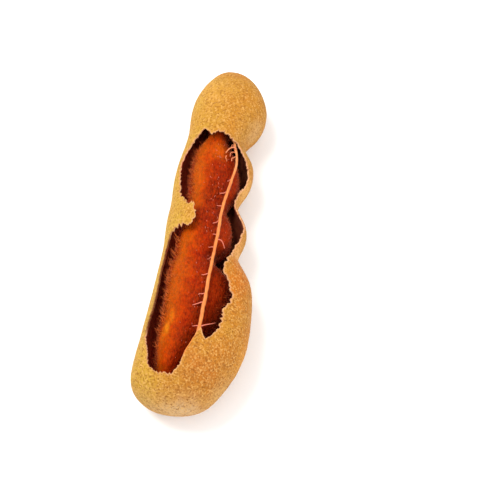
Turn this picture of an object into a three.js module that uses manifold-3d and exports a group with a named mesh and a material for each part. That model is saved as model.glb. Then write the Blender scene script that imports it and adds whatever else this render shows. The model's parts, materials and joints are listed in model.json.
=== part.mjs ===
// A ripe tamarind pod lying on its side with part of its brittle shell broken away.
// Millimetres, +Z up, resting on Z = 0. The pod's length runs along Y, with the
// blossom end at -Y and the stalk end at +Y.
//
// Both the shell and the pulp are "lobed bodies". A station is the distance in
// millimetres from the blossom end, and an angle in degrees runs round the body at a
// station: 0 is +X, 90 is straight up and 180 is -X.
import * as THREE from 'three';
import * as BufferGeometryUtils from 'three/addons/utils/BufferGeometryUtils.js';
import Module from 'manifold-3d';

const wasm = await Module();
wasm.setup();

// ---------------------------------------------------------------- driving dimensions

const POD_LENGTH = 107;
const SHELL_THICKNESS = 0.9;

// near, far: stations of the two ends. nearCap, farCap: lengths of the rounded ends.
// spine: [station, x, z] of the middle line.
// reach: [station, left, right, up, down] from the middle line to the surface.
// waists: [station, depth, width] of the narrow places between the seeds; waistShare
// says how much of each waist shows on the left, right, top and bottom.
const SHELL = {
	near: 0, far: POD_LENGTH, nearCap: 15.6, farCap: 16, nearPower: 2.15, farPower: 2.0,
	fullness: 2.3, lowest: 0,
	spine: [
		[0, -3.3, 10.0], [7.5, -3.4, 10.8], [14.5, -1.7, 11.2], [20.5, -0.5, 11.4],
		[35.5, -0.3, 11.3], [50.5, -0.8, 10.8], [65.5, -0.7, 10.0], [80.5, 0.3, 9.6],
		[93.5, 1.8, 9.4], [107, 2.0, 9.4],
	],
	reach: [
		[0, 14.7, 15.1, 12.0, 11.2], [10.5, 13.2, 14.9, 12.6, 11.9],
		[20.5, 13.6, 15.4, 12.6, 12.0], [32.5, 12.4, 15.4, 11.9, 11.6],
		[42.5, 11.3, 14.0, 11.2, 10.8], [50.5, 10.7, 13.1, 10.8, 10.2],
		[58.5, 10.5, 12.4, 10.5, 9.6], [70.5, 10.4, 11.9, 10.2, 9.4],
		[84.5, 9.7, 11.2, 9.8, 10.4], [95.5, 10.25, 11.6, 9.6, 10.6],
		[107, 9.1, 10.8, 9.4, 9.8],
	],
	waists: [[46.4, 0.22, 5.0], [62.9, 0.27, 5.3], [82.3, 0.32, 4.5]],
	waistShare: { left: 0.12, right: 1.0, up: 0.35, down: 0.45 },
};

const PULP = {
	near: 4.5, far: 100.5, nearCap: 9, farCap: 8, nearPower: 2.1, farPower: 2.0,
	fullness: 2.1, lowest: 1.3,
	spine: [
		[4.5, -5.7, 9.5], [12.5, -4.9, 10.6], [20.5, -3.9, 11.2], [30.5, -2.7, 11.4],
		[40.5, -2.1, 11.0], [50.5, -1.3, 10.7], [60.5, -0.7, 10.4], [70.5, -0.5, 10.2],
		[80.5, -0.3, 9.9], [88.5, 1.1, 9.6], [100.5, 2.3, 9.4],
	],
	reach: [
		[4.5, 4.6, 4.6, 6.4, 6.0], [12.5, 4.8, 5.0, 7.6, 7.4], [19.5, 5.8, 7.0, 8.3, 8.2],
		[26.5, 6.7, 10.2, 8.7, 8.6], [35.5, 7.3, 11.6, 8.8, 8.8],
		[44.5, 7.3, 10.4, 8.4, 7.6], [52.5, 6.8, 8.8, 7.8, 7.6],
		[60.5, 5.9, 8.4, 7.3, 6.6], [70.5, 6.4, 8.4, 7.5, 7.2],
		[77.5, 5.8, 6.4, 7.2, 6.6], [84.5, 3.2, 2.9, 6.2, 4.8],
		[90.5, 5.6, 5.4, 6.2, 6.0], [100.5, 6.0, 6.0, 5.6, 5.8],
	],
	waists: [[44.5, 0.48, 3.6], [60.5, 0.30, 3.8]],
	waistShare: { left: 0.15, right: 1.0, up: 0.12, down: 0.35 },
};
const PULP_WRINKLE_DEPTH = 0.35;

// The broken opening in the shell, as [station, angle] round its edge.
const OPENING_EDGE = [
	// stalk end
	[81, 127.2], [83.3, 120.7], [83.4, 113.8], [81.7, 101], [82.9, 91], [82.7, 80],
	[81.8, 68], [80.8, 56],
	// right side, three scallops that follow the waists
	[80.4, 48], [78.2, 43], [76.5, 37.5], [74.6, 33], [72.9, 28], [71.4, 23],
	[69.7, 20.5], [68.2, 19], [67.1, 22], [65.6, 27.5], [64.1, 24.5], [62.6, 26.5],
	[60.5, 29.5], [58.5, 27], [56.4, 21], [54.9, 18], [53.3, 20], [52.3, 24], [50.4, 21],
	[48.5, 27], [46.5, 31], [44.8, 38], [42.9, 48], [40.5, 54], [39, 56], [37.3, 54],
	[35.6, 49.5], [30.5, 44], [28.4, 48.5], [27.2, 52.5], [24.9, 54], [20.5, 56],
	// the tongue that carries the end of the seam strand
	[18.2, 61], [16.9, 66.8], [18, 70.8], [20, 75.5], [18.7, 79], [15.5, 81.9], [13, 84.4],
	// blossom end
	[9.8, 84.3], [7.1, 90.3], [7.3, 115.7], [9, 125.2], [12.6, 131.6], [14.9, 137.2],
	// left side
	[17.7, 145.6], [21.6, 146.5], [25.5, 143.3], [31, 144], [37.5, 145.5], [45, 146],
	[49.3, 142], [51, 128.1],
	// the tab left standing on the left side
	[51.5, 108], [53.4, 101], [56, 101.5], [59, 107.5], [59.3, 119], [61.2, 130],
	[63.4, 137.5],
	// left side again, past the tab
	[65.2, 139], [69.5, 143], [73.1, 145], [75.2, 142.2], [78.3, 134.1],
];
const EDGE_TOOTH_PITCH = 1.3;
const EDGE_TOOTH_DEPTH = 0.28;

// The broken stub of the stalk and its scar, leaning below the far end.
const STALK = { length: 3.6, scarRadius: 2.3, neckRadius: 1.25, tipRadius: 1.45 };
const STALK_PLACE = { station: 104.6, angle: 250, droop: 38, sink: 1.4 };

// The seam strand that lies on the pulp: [station, x, z] of its middle line.
const STRAND_ROUTE = [
	[83, 4.0, 13.9], [80, 5.1, 15.0], [76.5, 6.55, 16.7], [72.5, 6.6, 17.1],
	[66.5, 5.4, 17.0], [59.5, 4.2, 17.4], [52.5, 3.85, 18.3], [44.5, 3.4, 18.7],
	[37.5, 3.05, 19.9], [30.5, 2.8, 20.3], [23.5, 2.45, 20.9], [19.5, 2.3, 21.6],
	[15.5, 1.8, 21.7],
];
const STRAND_RADIUS = { stalkEnd: 0.36, blossomEnd: 0.58 };

// Rootlets of the strand: [station, side reach, lengthwise lean], all in millimetres.
const ROOTLETS = [
	[68.8, -1.3, -1.0], [64.5, -2.1, -0.6], [59.6, -1.7, 0.3], [55.2, -2.2, -1.1],
	[50.1, -1.3, 0.3], [48.4, 2.6, -1.1], [46.3, -1.8, 0], [43.2, -1.5, -0.5],
	[37.6, -2.1, -0.6], [31.6, -2.0, -0.2], [28.9, -3.1, -1.1], [21.2, -2.1, 0.5],
	[21.1, 4.1, 2.1],
];
const ROOTLET_RADIUS = 0.3;
const ROOTLET_DROP = 1.2;
const CLEARANCE = 0.3;

// Mesh fineness.
const SHELL_GRID = { capRings: 6, bodyRings: 30, sides: 36 };
const PULP_GRID = { capRings: 4, bodyRings: 38, sides: 28 };

// -------------------------------------------------------------------------- materials

const shellMaterial = new THREE.MeshStandardMaterial({
	color: 0xcf9146, roughness: 0.85, metalness: 0,
});
const pulpMaterial = new THREE.MeshStandardMaterial({
	color: 0xa83e12, roughness: 0.5, metalness: 0,
});
const strandMaterial = new THREE.MeshStandardMaterial({
	color: 0xe79a58, roughness: 0.65, metalness: 0,
});

// ---------------------------------------------------------------------- small helpers

function seededRandom(seed) {
	let state = seed;
	return () => {
		state = (state * 1664525 + 1013904223) % 4294967296;
		return state / 4294967296;
	};
}

// A smooth curve through [place, value] points, level beyond the first and the last.
function smoothThrough(points) {
	const slopes = points.map((point, i) => {
		const before = points[i - 1];
		const after = points[i + 1];
		return before && after ? (after[1] - before[1]) / (after[0] - before[0]) : 0;
	});
	const last = points.length - 1;
	return (asked) => {
		const place = THREE.MathUtils.clamp(asked, points[0][0], points[last][0]);
		let i = 0;
		while (i < last - 1 && place > points[i + 1][0]) i += 1;
		const [startPlace, startValue] = points[i];
		const [endPlace, endValue] = points[i + 1];
		const step = endPlace - startPlace;
		const u = (place - startPlace) / step;
		const blend = u * u * (3 - 2 * u);
		const leaving = u * (1 - u) * (1 - u) * step * slopes[i];
		const arriving = u * u * (u - 1) * step * slopes[i + 1];
		return startValue + blend * (endValue - startValue) + leaving + arriving;
	};
}

function toManifold(geometry) {
	const bare = geometry.clone();
	bare.deleteAttribute('normal');
	bare.deleteAttribute('uv');
	const merged = BufferGeometryUtils.mergeVertices(bare, 1e-5);
	return new wasm.Manifold(new wasm.Mesh({
		numProp: 3,
		vertProperties: new Float32Array(merged.attributes.position.array),
		triVerts: new Uint32Array(merged.index.array),
	}));
}

function fromManifold(solid) {
	const mesh = solid.getMesh();
	const geometry = new THREE.BufferGeometry();
	geometry.setAttribute('position', new THREE.BufferAttribute(mesh.vertProperties, 3));
	geometry.setIndex(new THREE.BufferAttribute(mesh.triVerts, 1));
	geometry.computeVertexNormals();
	return geometry;
}

function geometryFrom(vertices, triangles) {
	const geometry = new THREE.BufferGeometry().setFromPoints(vertices);
	geometry.setIndex(triangles.flat());
	geometry.computeVertexNormals();
	return geometry;
}

// ----------------------------------------------------------------------- lobed bodies

// Turns a form such as SHELL into functions of station and angle (degrees).
function lobedBody(form) {
	const spineX = smoothThrough(form.spine.map(([station, x]) => [station, x]));
	const spineZ = smoothThrough(form.spine.map(([station, , z]) => [station, z]));
	const [left, right, up, down] = [1, 2, 3, 4].map((column) =>
		smoothThrough(form.reach.map((row) => [row[0], row[column]])));

	// 1 along the body, falling to 0 at each end as a superellipse.
	const capShare = (station) => {
		const intoNear = (form.near + form.nearCap - station) / form.nearCap;
		const intoFar = (station - form.far + form.farCap) / form.farCap;
		const u = THREE.MathUtils.clamp(intoNear, 0, 1);
		const v = THREE.MathUtils.clamp(intoFar, 0, 1);
		return (1 - u ** form.nearPower) ** (1 / form.nearPower)
			* (1 - v ** form.farPower) ** (1 / form.farPower);
	};

	const waistDepth = (station) => form.waists.reduce(
		(sum, [place, depth, width]) => sum + depth * Math.exp(-(((station - place) / width) ** 2)),
		0);

	const surface = (station, angle) => {
		const radians = THREE.MathUtils.degToRad(angle);
		const across = Math.cos(radians);
		const upward = Math.sin(radians);
		const waist = waistDepth(station);
		const share = form.waistShare;
		const sideReach = across >= 0
			? right(station) * (1 - share.right * waist)
			: left(station) * (1 - share.left * waist);
		const heightReach = upward >= 0
			? up(station) * (1 - share.up * waist)
			: down(station) * (1 - share.down * waist);
		const squareness = Math.abs(across / sideReach) ** form.fullness
			+ Math.abs(upward / heightReach) ** form.fullness;
		const radius = capShare(station) * squareness ** (-1 / form.fullness);
		return new THREE.Vector3(
			spineX(station) + radius * across,
			station - POD_LENGTH / 2,
			Math.max(spineZ(station) + radius * upward, form.lowest));
	};

	const normal = (station, angle) => {
		const small = 0.02;
		const before = Math.max(station - small, form.near);
		const after = Math.min(station + small, form.far);
		const along = surface(after, angle).sub(surface(before, angle));
		const round = surface(station, angle + small).sub(surface(station, angle - small));
		return along.cross(round).normalize();
	};

	return { ...form, spineX, spineZ, surface, normal };
}

// Stations of a body's rings: crowded towards the tips, even between the caps.
function ringStations(body, grid) {
	const stations = [];
	for (let i = 1; i <= grid.capRings; i += 1) {
		const turn = (Math.PI / 2) * (i / grid.capRings);
		stations.push(body.near + body.nearCap * (1 - Math.cos(turn)));
	}
	const start = body.near + body.nearCap;
	const run = body.far - body.farCap - start;
	for (let i = 1; i <= grid.bodyRings; i += 1) {
		stations.push(start + run * (i / grid.bodyRings));
	}
	for (let i = 1; i < grid.capRings; i += 1) {
		const turn = (Math.PI / 2) * (i / grid.capRings);
		stations.push(body.far - body.farCap + body.farCap * Math.sin(turn));
	}
	return stations;
}

// A closed solid from rings of points between two end points.
function solidOfRings(rings, nearTip, farTip) {
	const sides = rings[0].length;
	const vertices = [...rings.flat(), nearTip, farTip];
	const nearIndex = vertices.length - 2;
	const farIndex = vertices.length - 1;
	const lastRing = (rings.length - 1) * sides;
	const triangles = [];
	for (let side = 0; side < sides; side += 1) {
		const next = (side + 1) % sides;
		triangles.push([nearIndex, side, next]);
		triangles.push([farIndex, lastRing + next, lastRing + side]);
		for (let ring = 0; ring < rings.length - 1; ring += 1) {
			const a = ring * sides + side;
			const b = ring * sides + next;
			triangles.push([a, b + sides, b], [a, a + sides, b + sides]);
		}
	}
	return geometryFrom(vertices, triangles);
}

// A lobed body as a closed solid; place(station, angle) gives each of its points.
function bodySolid(body, grid, place, nearStation, farStation) {
	const rings = ringStations(body, grid).map((station) =>
		Array.from({ length: grid.sides }, (_, side) => place(station, (360 * side) / grid.sides)));
	const tip = (station, tipStation) => new THREE.Vector3(
		body.spineX(station), tipStation - POD_LENGTH / 2, body.spineZ(station));
	return solidOfRings(rings, tip(body.near, nearStation), tip(body.far, farStation));
}

// ------------------------------------------------------------------------------ shell

function shellOutside(shell) {
	return bodySolid(shell, SHELL_GRID, shell.surface, shell.near, shell.far);
}

// The hollow that the pulp lies in: the outside moved in by the shell's thickness.
function shellInside(shell) {
	const innerPoint = (station, angle) =>
		shell.surface(station, angle).addScaledVector(shell.normal(station, angle), -SHELL_THICKNESS);
	return bodySolid(shell, SHELL_GRID, innerPoint,
		shell.near + SHELL_THICKNESS, shell.far - SHELL_THICKNESS);
}

// The opening's edge with small broken teeth, as points of x = station, y = angle.
function toothedEdge() {
	const random = seededRandom(7);
	const millimetresPerDegree = 0.21;
	const edge = [];
	OPENING_EDGE.forEach((start, i) => {
		const end = OPENING_EDGE[(i + 1) % OPENING_EDGE.length];
		const along = end[0] - start[0];
		const round = (end[1] - start[1]) * millimetresPerDegree;
		const length = Math.hypot(along, round);
		const teeth = Math.max(1, Math.round(length / EDGE_TOOTH_PITCH));
		for (let tooth = 0; tooth < teeth; tooth += 1) {
			const share = tooth / teeth;
			const push = (random() - 0.5) * 2 * EDGE_TOOTH_DEPTH;
			edge.push(new THREE.Vector2(
				start[0] + along * share - (push * round) / length,
				start[1] + (round * share + (push * along) / length) / millimetresPerDegree));
		}
	});
	return edge;
}

// A plug through the wall, bounded by the opening's edge and by rays from the spine.
function openingCutter(shell) {
	const edge = toothedEdge();
	const faces = THREE.ShapeUtils.triangulateShape(edge, []);
	const innerRadius = 3;
	const outerRadius = 60;
	const pointAt = ({ x: station, y: angle }, radius) => {
		const radians = THREE.MathUtils.degToRad(angle);
		return new THREE.Vector3(
			shell.spineX(station) + radius * Math.cos(radians),
			station - POD_LENGTH / 2,
			shell.spineZ(station) + radius * Math.sin(radians));
	};
	const vertices = [
		...edge.map((point) => pointAt(point, innerRadius)),
		...edge.map((point) => pointAt(point, outerRadius)),
	];
	const count = edge.length;
	const triangles = [];
	faces.forEach(([a, b, c]) => {
		triangles.push([a, c, b], [a + count, b + count, c + count]);
	});
	for (let i = 0; i < count; i += 1) {
		const next = (i + 1) % count;
		triangles.push([i, i + count, next], [next, i + count, next + count]);
	}
	return geometryFrom(vertices, triangles);
}

// The scar ring and the broken stub of the stalk, one turned solid.
function stalkStub(shell) {
	const { length, scarRadius, neckRadius, tipRadius } = STALK;
	const profile = [
		[0, 0], [scarRadius * 0.8, 0], [scarRadius, 0.3 * length], [scarRadius * 0.85, 0.45 * length],
		[neckRadius, 0.6 * length], [neckRadius, 0.8 * length], [tipRadius, 0.95 * length],
		[tipRadius * 0.7, length], [0, length],
	].map(([radius, height]) => new THREE.Vector2(radius, height));
	const geometry = new THREE.LatheGeometry(profile, 12);
	const { station, angle, droop, sink } = STALK_PLACE;
	const place = shell.surface(station, angle);
	geometry.translate(0, -sink, 0);
	geometry.rotateX(-THREE.MathUtils.degToRad(droop));
	geometry.translate(place.x, place.y, place.z);
	return geometry;
}

function makeShell() {
	const shell = lobedBody(SHELL);
	const solid = toManifold(shellOutside(shell))
		.subtract(toManifold(shellInside(shell)))
		.subtract(toManifold(openingCutter(shell)))
		.add(toManifold(stalkStub(shell)));
	const mesh = new THREE.Mesh(fromManifold(solid), shellMaterial);
	mesh.name = 'shell';
	return mesh;
}

// ------------------------------------------------------------------------------- pulp

// Lengthwise folds and cross wrinkles of the drying pulp, 0 to 1.
function wrinkle(station, angle) {
	const radians = THREE.MathUtils.degToRad(angle);
	const folds = Math.sin(5 * radians + 0.16 * station + 1.3 * Math.sin(0.11 * station));
	const cross = Math.sin(0.62 * station + 1.7 * Math.sin(2 * radians + 0.4));
	const lumps = Math.sin(0.31 * station - 3 * radians + 0.9);
	return 0.5 + (folds + cross + lumps) / 6;
}

function makePulp(pulp) {
	const wrinkledPoint = (station, angle) => {
		const depth = PULP_WRINKLE_DEPTH * wrinkle(station, angle);
		return pulp.surface(station, angle).addScaledVector(pulp.normal(station, angle), -depth);
	};
	const geometry = bodySolid(pulp, PULP_GRID, wrinkledPoint, pulp.near, pulp.far);
	const mesh = new THREE.Mesh(geometry, pulpMaterial);
	mesh.name = 'pulp';
	return mesh;
}

// ---------------------------------------------------------------------- seam strand

// A closed round tube that may taper, with pointed ends.
function taperedTube(points, radiusAt, steps, sides) {
	const curve = new THREE.CatmullRomCurve3(points, false, 'centripetal');
	const frames = curve.computeFrenetFrames(steps, false);
	const rings = [];
	for (let step = 0; step <= steps; step += 1) {
		const share = step / steps;
		const middle = curve.getPointAt(share);
		rings.push(Array.from({ length: sides }, (_, side) => {
			const turn = (2 * Math.PI * side) / sides;
			return middle.clone()
				.addScaledVector(frames.normals[step], radiusAt(share) * Math.cos(turn))
				.addScaledVector(frames.binormals[step], -radiusAt(share) * Math.sin(turn));
		}));
	}
	const pointOut = radiusAt(1) * 0.5;
	const start = curve.getPointAt(0).addScaledVector(frames.tangents[0], -radiusAt(0) * 0.5);
	const end = curve.getPointAt(1).addScaledVector(frames.tangents[steps], pointOut);
	return solidOfRings(rings, start, end);
}

// Height of the pulp's upper surface at a station and an x, by halving the angle.
function pulpTop(pulp, station, x) {
	let [low, high] = [0, 180];
	for (let i = 0; i < 24; i += 1) {
		const middle = (low + high) / 2;
		if (pulp.surface(station, middle).x > x) low = middle;
		else high = middle;
	}
	return pulp.surface(station, low).z;
}

// A rootlet leaves the strand sideways and bends down to lie just above the pulp.
function rootlet(pulp, route, [station, reach, lean]) {
	const x = smoothThrough(route.map((point) => [point[0], point[1]]));
	const z = smoothThrough(route.map((point) => [point[0], point[2]]));
	const at = (share) => {
		const here = station + lean * share;
		const across = x(station) + reach * share;
		const resting = pulpTop(pulp, here, across) + CLEARANCE + ROOTLET_RADIUS;
		const height = Math.max(z(station) - ROOTLET_DROP * share * share, resting);
		return new THREE.Vector3(across, here - POD_LENGTH / 2, height);
	};
	return taperedTube([at(0), at(0.5), at(1)], (share) => ROOTLET_RADIUS * (1 - 0.3 * share), 4, 5);
}

function makeStrand(pulp) {
	const route = [...STRAND_ROUTE].reverse();
	const points = route.map(([station, x, z]) => new THREE.Vector3(x, station - POD_LENGTH / 2, z));
	const { stalkEnd, blossomEnd } = STRAND_RADIUS;
	const radiusAt = (share) => THREE.MathUtils.lerp(blossomEnd, stalkEnd, share);
	const solid = ROOTLETS.reduce(
		(strand, root) => strand.add(toManifold(rootlet(pulp, route, root))),
		toManifold(taperedTube(points, radiusAt, 48, 8)));
	const mesh = new THREE.Mesh(fromManifold(solid), strandMaterial);
	mesh.name = 'string';
	return mesh;
}

// ------------------------------------------------------------------------------- pod

function makePod() {
	const pulp = lobedBody(PULP);
	const pod = new THREE.Group();
	pod.name = 'tamarind_pod';
	pod.add(makeShell(), makePulp(pulp), makeStrand(pulp));
	return pod;
}

export default makePod();
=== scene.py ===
# %% [markdown]
# # A tamarind pod with its rind broken open
#
# A ripe tamarind pod is a thin brittle rind, dusty and tan, round a sticky ridge of
# pulp. The measured model of it is already there and is loaded as a fixed frame. This
# lesson dresses it: each solid is replaced by a finer mesh of the same form, and each
# surface gets a material made of nodes, with no pictures.

# %% Load the frame
import json
import math
import random

import bmesh
import bpy
import numpy as np
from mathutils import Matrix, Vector, noise
from mathutils.geometry import delaunay_2d_cdt

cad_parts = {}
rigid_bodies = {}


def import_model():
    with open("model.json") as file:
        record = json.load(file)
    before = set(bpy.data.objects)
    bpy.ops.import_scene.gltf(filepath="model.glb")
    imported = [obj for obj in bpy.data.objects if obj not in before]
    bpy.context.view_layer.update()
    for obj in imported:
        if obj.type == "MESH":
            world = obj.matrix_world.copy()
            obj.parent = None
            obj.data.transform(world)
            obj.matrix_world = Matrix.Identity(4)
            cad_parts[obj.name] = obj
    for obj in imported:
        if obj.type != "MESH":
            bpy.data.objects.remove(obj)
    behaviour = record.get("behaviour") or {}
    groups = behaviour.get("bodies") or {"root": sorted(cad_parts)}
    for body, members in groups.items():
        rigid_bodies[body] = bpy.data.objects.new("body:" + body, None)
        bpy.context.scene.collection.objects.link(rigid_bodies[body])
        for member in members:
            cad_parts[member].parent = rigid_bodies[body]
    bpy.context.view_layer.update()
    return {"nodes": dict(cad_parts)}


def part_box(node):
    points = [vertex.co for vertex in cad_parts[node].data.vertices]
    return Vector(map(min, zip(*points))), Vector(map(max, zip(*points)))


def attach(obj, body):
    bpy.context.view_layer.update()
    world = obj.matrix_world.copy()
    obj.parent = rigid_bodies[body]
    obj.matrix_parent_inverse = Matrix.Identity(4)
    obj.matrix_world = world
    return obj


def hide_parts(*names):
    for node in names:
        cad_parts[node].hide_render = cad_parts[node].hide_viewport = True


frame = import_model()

MM = 0.001
print("frame nodes:", sorted(frame["nodes"]))

# %% [markdown]
# ## Camera
#
# The camera looks down on the pod from the blossom end, as one looks at food on a
# table. A long lens far away keeps the two ends of the pod nearly the same size. The
# direction is worked out from two angles, so that it reads as a person would say it.

# %% Camera
CAMERA_AZIMUTH = math.radians(5.7)
CAMERA_ELEVATION = math.radians(64)
CAMERA_DISTANCE = 500 * MM
CAMERA_AIM = Vector((12.7, -3.5, 11.0)) * MM
CAMERA_LENS = 129.6

camera_back = Vector((
    math.sin(CAMERA_AZIMUTH) * math.cos(CAMERA_ELEVATION),
    -math.cos(CAMERA_AZIMUTH) * math.cos(CAMERA_ELEVATION),
    math.sin(CAMERA_ELEVATION),
))
camera_data = bpy.data.cameras.new("camera")
camera_data.lens = CAMERA_LENS
camera = bpy.data.objects.new("camera", camera_data)
camera.location = CAMERA_AIM + camera_back * CAMERA_DISTANCE
camera.rotation_mode = "QUATERNION"
camera.rotation_quaternion = (-camera_back).to_track_quat("-Z", "Y")
bpy.context.collection.objects.link(camera)
bpy.context.scene.camera = camera
print("camera at", [round(v, 3) for v in camera.location])

# %% [markdown]
# ## Floor and light
#
# The pod lies on a white table. The main lamp is a wide soft disc above it, to the left
# and a little behind. A weaker one at the front right lights the side in shade, and a
# bright room fills in the rest. Wide lamps close to a small thing give soft edges to
# every shadow. The plain view transform keeps the strong oranges of the fruit, which a
# film-like one would wash out.

# %% Floor
FLOOR_SIZE = 3.0
FLOOR_WHITE = (0.93, 0.93, 0.93, 1)

half = FLOOR_SIZE / 2
floor_corners = [(-half, -half, 0), (half, -half, 0), (half, half, 0), (-half, half, 0)]
floor_mesh = bpy.data.meshes.new("floor")
floor_mesh.from_pydata(floor_corners, [], [(0, 1, 2, 3)])
floor = bpy.data.objects.new("floor", floor_mesh)
bpy.context.collection.objects.link(floor)

floor_material = bpy.data.materials.new("white_table")
floor_material.use_nodes = True
floor_shader = floor_material.node_tree.nodes["Principled BSDF"]
floor_shader.inputs["Base Color"].default_value = FLOOR_WHITE
floor_shader.inputs["Roughness"].default_value = 0.9
floor_mesh.materials.append(floor_material)
print("floor:", FLOOR_SIZE, "m wide")

# %% Lamps and room
LAMP_AIM = Vector((0, 0, 0.01))
# name, place, width of the disc, power in watts, colour
LAMPS = [
    ("key", (-0.30, 0.14, 0.62), 0.40, 4.4, (1.0, 0.99, 0.97)),
    ("fill", (0.42, -0.30, 0.45), 0.50, 2.2, (1.0, 1.0, 1.0)),
]
ROOM_STRENGTH = 0.90

for name, place, size, power, color in LAMPS:
    lamp_data = bpy.data.lights.new(name, "AREA")
    lamp_data.shape = "DISK"
    lamp_data.size = size
    lamp_data.energy = power
    lamp_data.color = color
    lamp = bpy.data.objects.new(name, lamp_data)
    lamp.location = place
    lamp.rotation_mode = "QUATERNION"
    lamp.rotation_quaternion = (LAMP_AIM - Vector(place)).to_track_quat("-Z", "Y")
    bpy.context.collection.objects.link(lamp)

world = bpy.data.worlds.new("room")
world.use_nodes = True
background = world.node_tree.nodes["Background"]
background.inputs["Color"].default_value = (1, 1, 1, 1)
background.inputs["Strength"].default_value = ROOM_STRENGTH
bpy.context.scene.world = world
bpy.context.scene.view_settings.view_transform = "Standard"
print("lamps:", [row[0] for row in LAMPS])

# %% [markdown]
# ## The lobed body
#
# Both the rind and the pulp swell over each seed and narrow between them. Sculpting
# would give that shape once, but here the mesh has to keep the form of the measured
# solids, so it is worked out from a handful of numbers: a middle line, how far the
# surface reaches left, right, up and down from it at some stations, and the waists. A
# station is the distance in millimetres from the blossom end, and the angle runs round
# the pod: 0 is right, 90 is up. Numpy works out all the points of a mesh in one go.

# %% Smooth curves
BLOSSOM_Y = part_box("shell")[0].y / MM


def smooth_through(places, values):
    """A smooth curve through points, level beyond the first and the last."""
    places = np.asarray(places, float)
    values = np.asarray(values, float)
    slopes = np.zeros(len(values))
    slopes[1:-1] = (values[2:] - values[:-2]) / (places[2:] - places[:-2])

    def curve(asked):
        at = np.clip(asked, places[0], places[-1])
        i = np.clip(np.searchsorted(places, at, side="right") - 1, 0, len(places) - 2)
        step = places[i + 1] - places[i]
        u = (at - places[i]) / step
        blend = u * u * (3 - 2 * u)
        leaving = u * (1 - u) ** 2 * step * slopes[i]
        arriving = u * u * (u - 1) * step * slopes[i + 1]
        return values[i] + blend * (values[i + 1] - values[i]) + leaving + arriving

    return curve


print("station 0 is at y =", round(BLOSSOM_Y, 2), "mm")

# %% Lobed body


class LobedBody:
    """Points and normals of a lobed form, in millimetres, by station and angle."""

    SMALL_STEP = 0.02
    HALVINGS = 24

    def __init__(self, form):
        self.form = form
        stations, x, z = np.array(form["spine"]).T
        self.spine_x, self.spine_z = smooth_through(stations, x), smooth_through(stations, z)
        stations, *reaches = np.array(form["reach"]).T
        self.reach = {
            side: smooth_through(stations, reach)
            for side, reach in zip(("left", "right", "up", "down"), reaches)}

    def cap_share(self, station):
        """1 along the body, falling to 0 at each end as a superellipse."""
        form = self.form
        into_near = (form["near"] + form["near_cap"] - station) / form["near_cap"]
        into_far = (station - form["far"] + form["far_cap"]) / form["far_cap"]
        near_power, far_power = form["near_power"], form["far_power"]
        near_share = (1 - np.clip(into_near, 0, 1) ** near_power) ** (1 / near_power)
        far_share = (1 - np.clip(into_far, 0, 1) ** far_power) ** (1 / far_power)
        return near_share * far_share

    def side_reach(self, side, station):
        """How far the form reaches to one side, waists taken off."""
        waist = sum(
            depth * np.exp(-(((station - place) / width) ** 2))
            for place, depth, width in self.form["waists"])
        return self.reach[side](station) * (1 - self.form["waist_share"][side] * waist)

    def surface(self, station, angle):
        """Points of the surface, round the middle line as a superellipse."""
        form = self.form
        station, angle = np.broadcast_arrays(
            np.asarray(station, float), np.radians(np.asarray(angle, float)))
        across, upward = np.cos(angle), np.sin(angle)
        side = np.where(
            across >= 0, self.side_reach("right", station), self.side_reach("left", station))
        height = np.where(
            upward >= 0, self.side_reach("up", station), self.side_reach("down", station))
        full = form["fullness"]
        squareness = np.abs(across / side) ** full + np.abs(upward / height) ** full
        radius = self.cap_share(station) * squareness ** (-1 / full)
        z = self.spine_z(station) + radius * upward
        return np.stack([
            self.spine_x(station) + radius * across,
            BLOSSOM_Y + station,
            np.maximum(z, form["lowest"]),
        ], axis=-1)

    def normal(self, station, angle):
        """Unit vectors that stand out of the surface, from its slopes."""
        small = self.SMALL_STEP
        near, far = self.form["near"], self.form["far"]
        along = (self.surface(np.minimum(station + small, far), angle)
                 - self.surface(np.maximum(station - small, near), angle))
        around = self.surface(station, angle + small) - self.surface(station, angle - small)
        normal = np.cross(along, around)
        length = np.linalg.norm(normal, axis=-1, keepdims=True)
        return normal / np.maximum(length, 1e-9)

    def height_above(self, station, x):
        """Height of the upper surface at a station and an x, by halving the angle."""
        low, high = 0.0, 180.0
        for _ in range(self.HALVINGS):
            middle = (low + high) / 2
            if self.surface(station, middle)[0] > x:
                low = middle
            else:
                high = middle
        return float(self.surface(station, low)[2])


print("lobed body:", LobedBody.__doc__)

# %% The form of the rind
POD_LENGTH = 107

# Near and far are the two tips, and each cap is the length over which the form closes.
# A power of 2 closes it as a ball does, and more is blunter. A row of the spine is
# station, x and z; of the reach, station, left, right, up and down; of the waists,
# station, depth as a share of the reach, and width.
RIND = LobedBody(dict(
    near=0, far=POD_LENGTH, near_cap=15.6, far_cap=16, near_power=2.15, far_power=2.0,
    fullness=2.3, lowest=0,
    spine=[
        (0, -3.3, 10.0), (7.5, -3.4, 10.8), (14.5, -1.7, 11.2), (20.5, -0.5, 11.4),
        (35.5, -0.3, 11.3), (50.5, -0.8, 10.8), (65.5, -0.7, 10.0), (80.5, 0.3, 9.6),
        (93.5, 1.8, 9.4), (107, 2.0, 9.4),
    ],
    reach=[
        (0, 14.7, 15.1, 12.0, 11.2), (10.5, 13.2, 14.9, 12.6, 11.9),
        (20.5, 13.6, 15.4, 12.6, 12.0), (32.5, 12.4, 15.4, 11.9, 11.6),
        (42.5, 11.3, 14.0, 11.2, 10.8), (50.5, 10.7, 13.1, 10.8, 10.2),
        (58.5, 10.5, 12.4, 10.5, 9.6), (70.5, 10.4, 11.9, 10.2, 9.4),
        (84.5, 9.7, 11.2, 9.8, 10.4), (95.5, 10.25, 11.6, 9.6, 10.6),
        (107, 9.1, 10.8, 9.4, 9.8),
    ],
    waists=[(46.4, 0.22, 5.0), (62.9, 0.27, 5.3), (82.3, 0.32, 4.5)],
    waist_share=dict(left=0.12, right=1.0, up=0.35, down=0.45),
))
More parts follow.
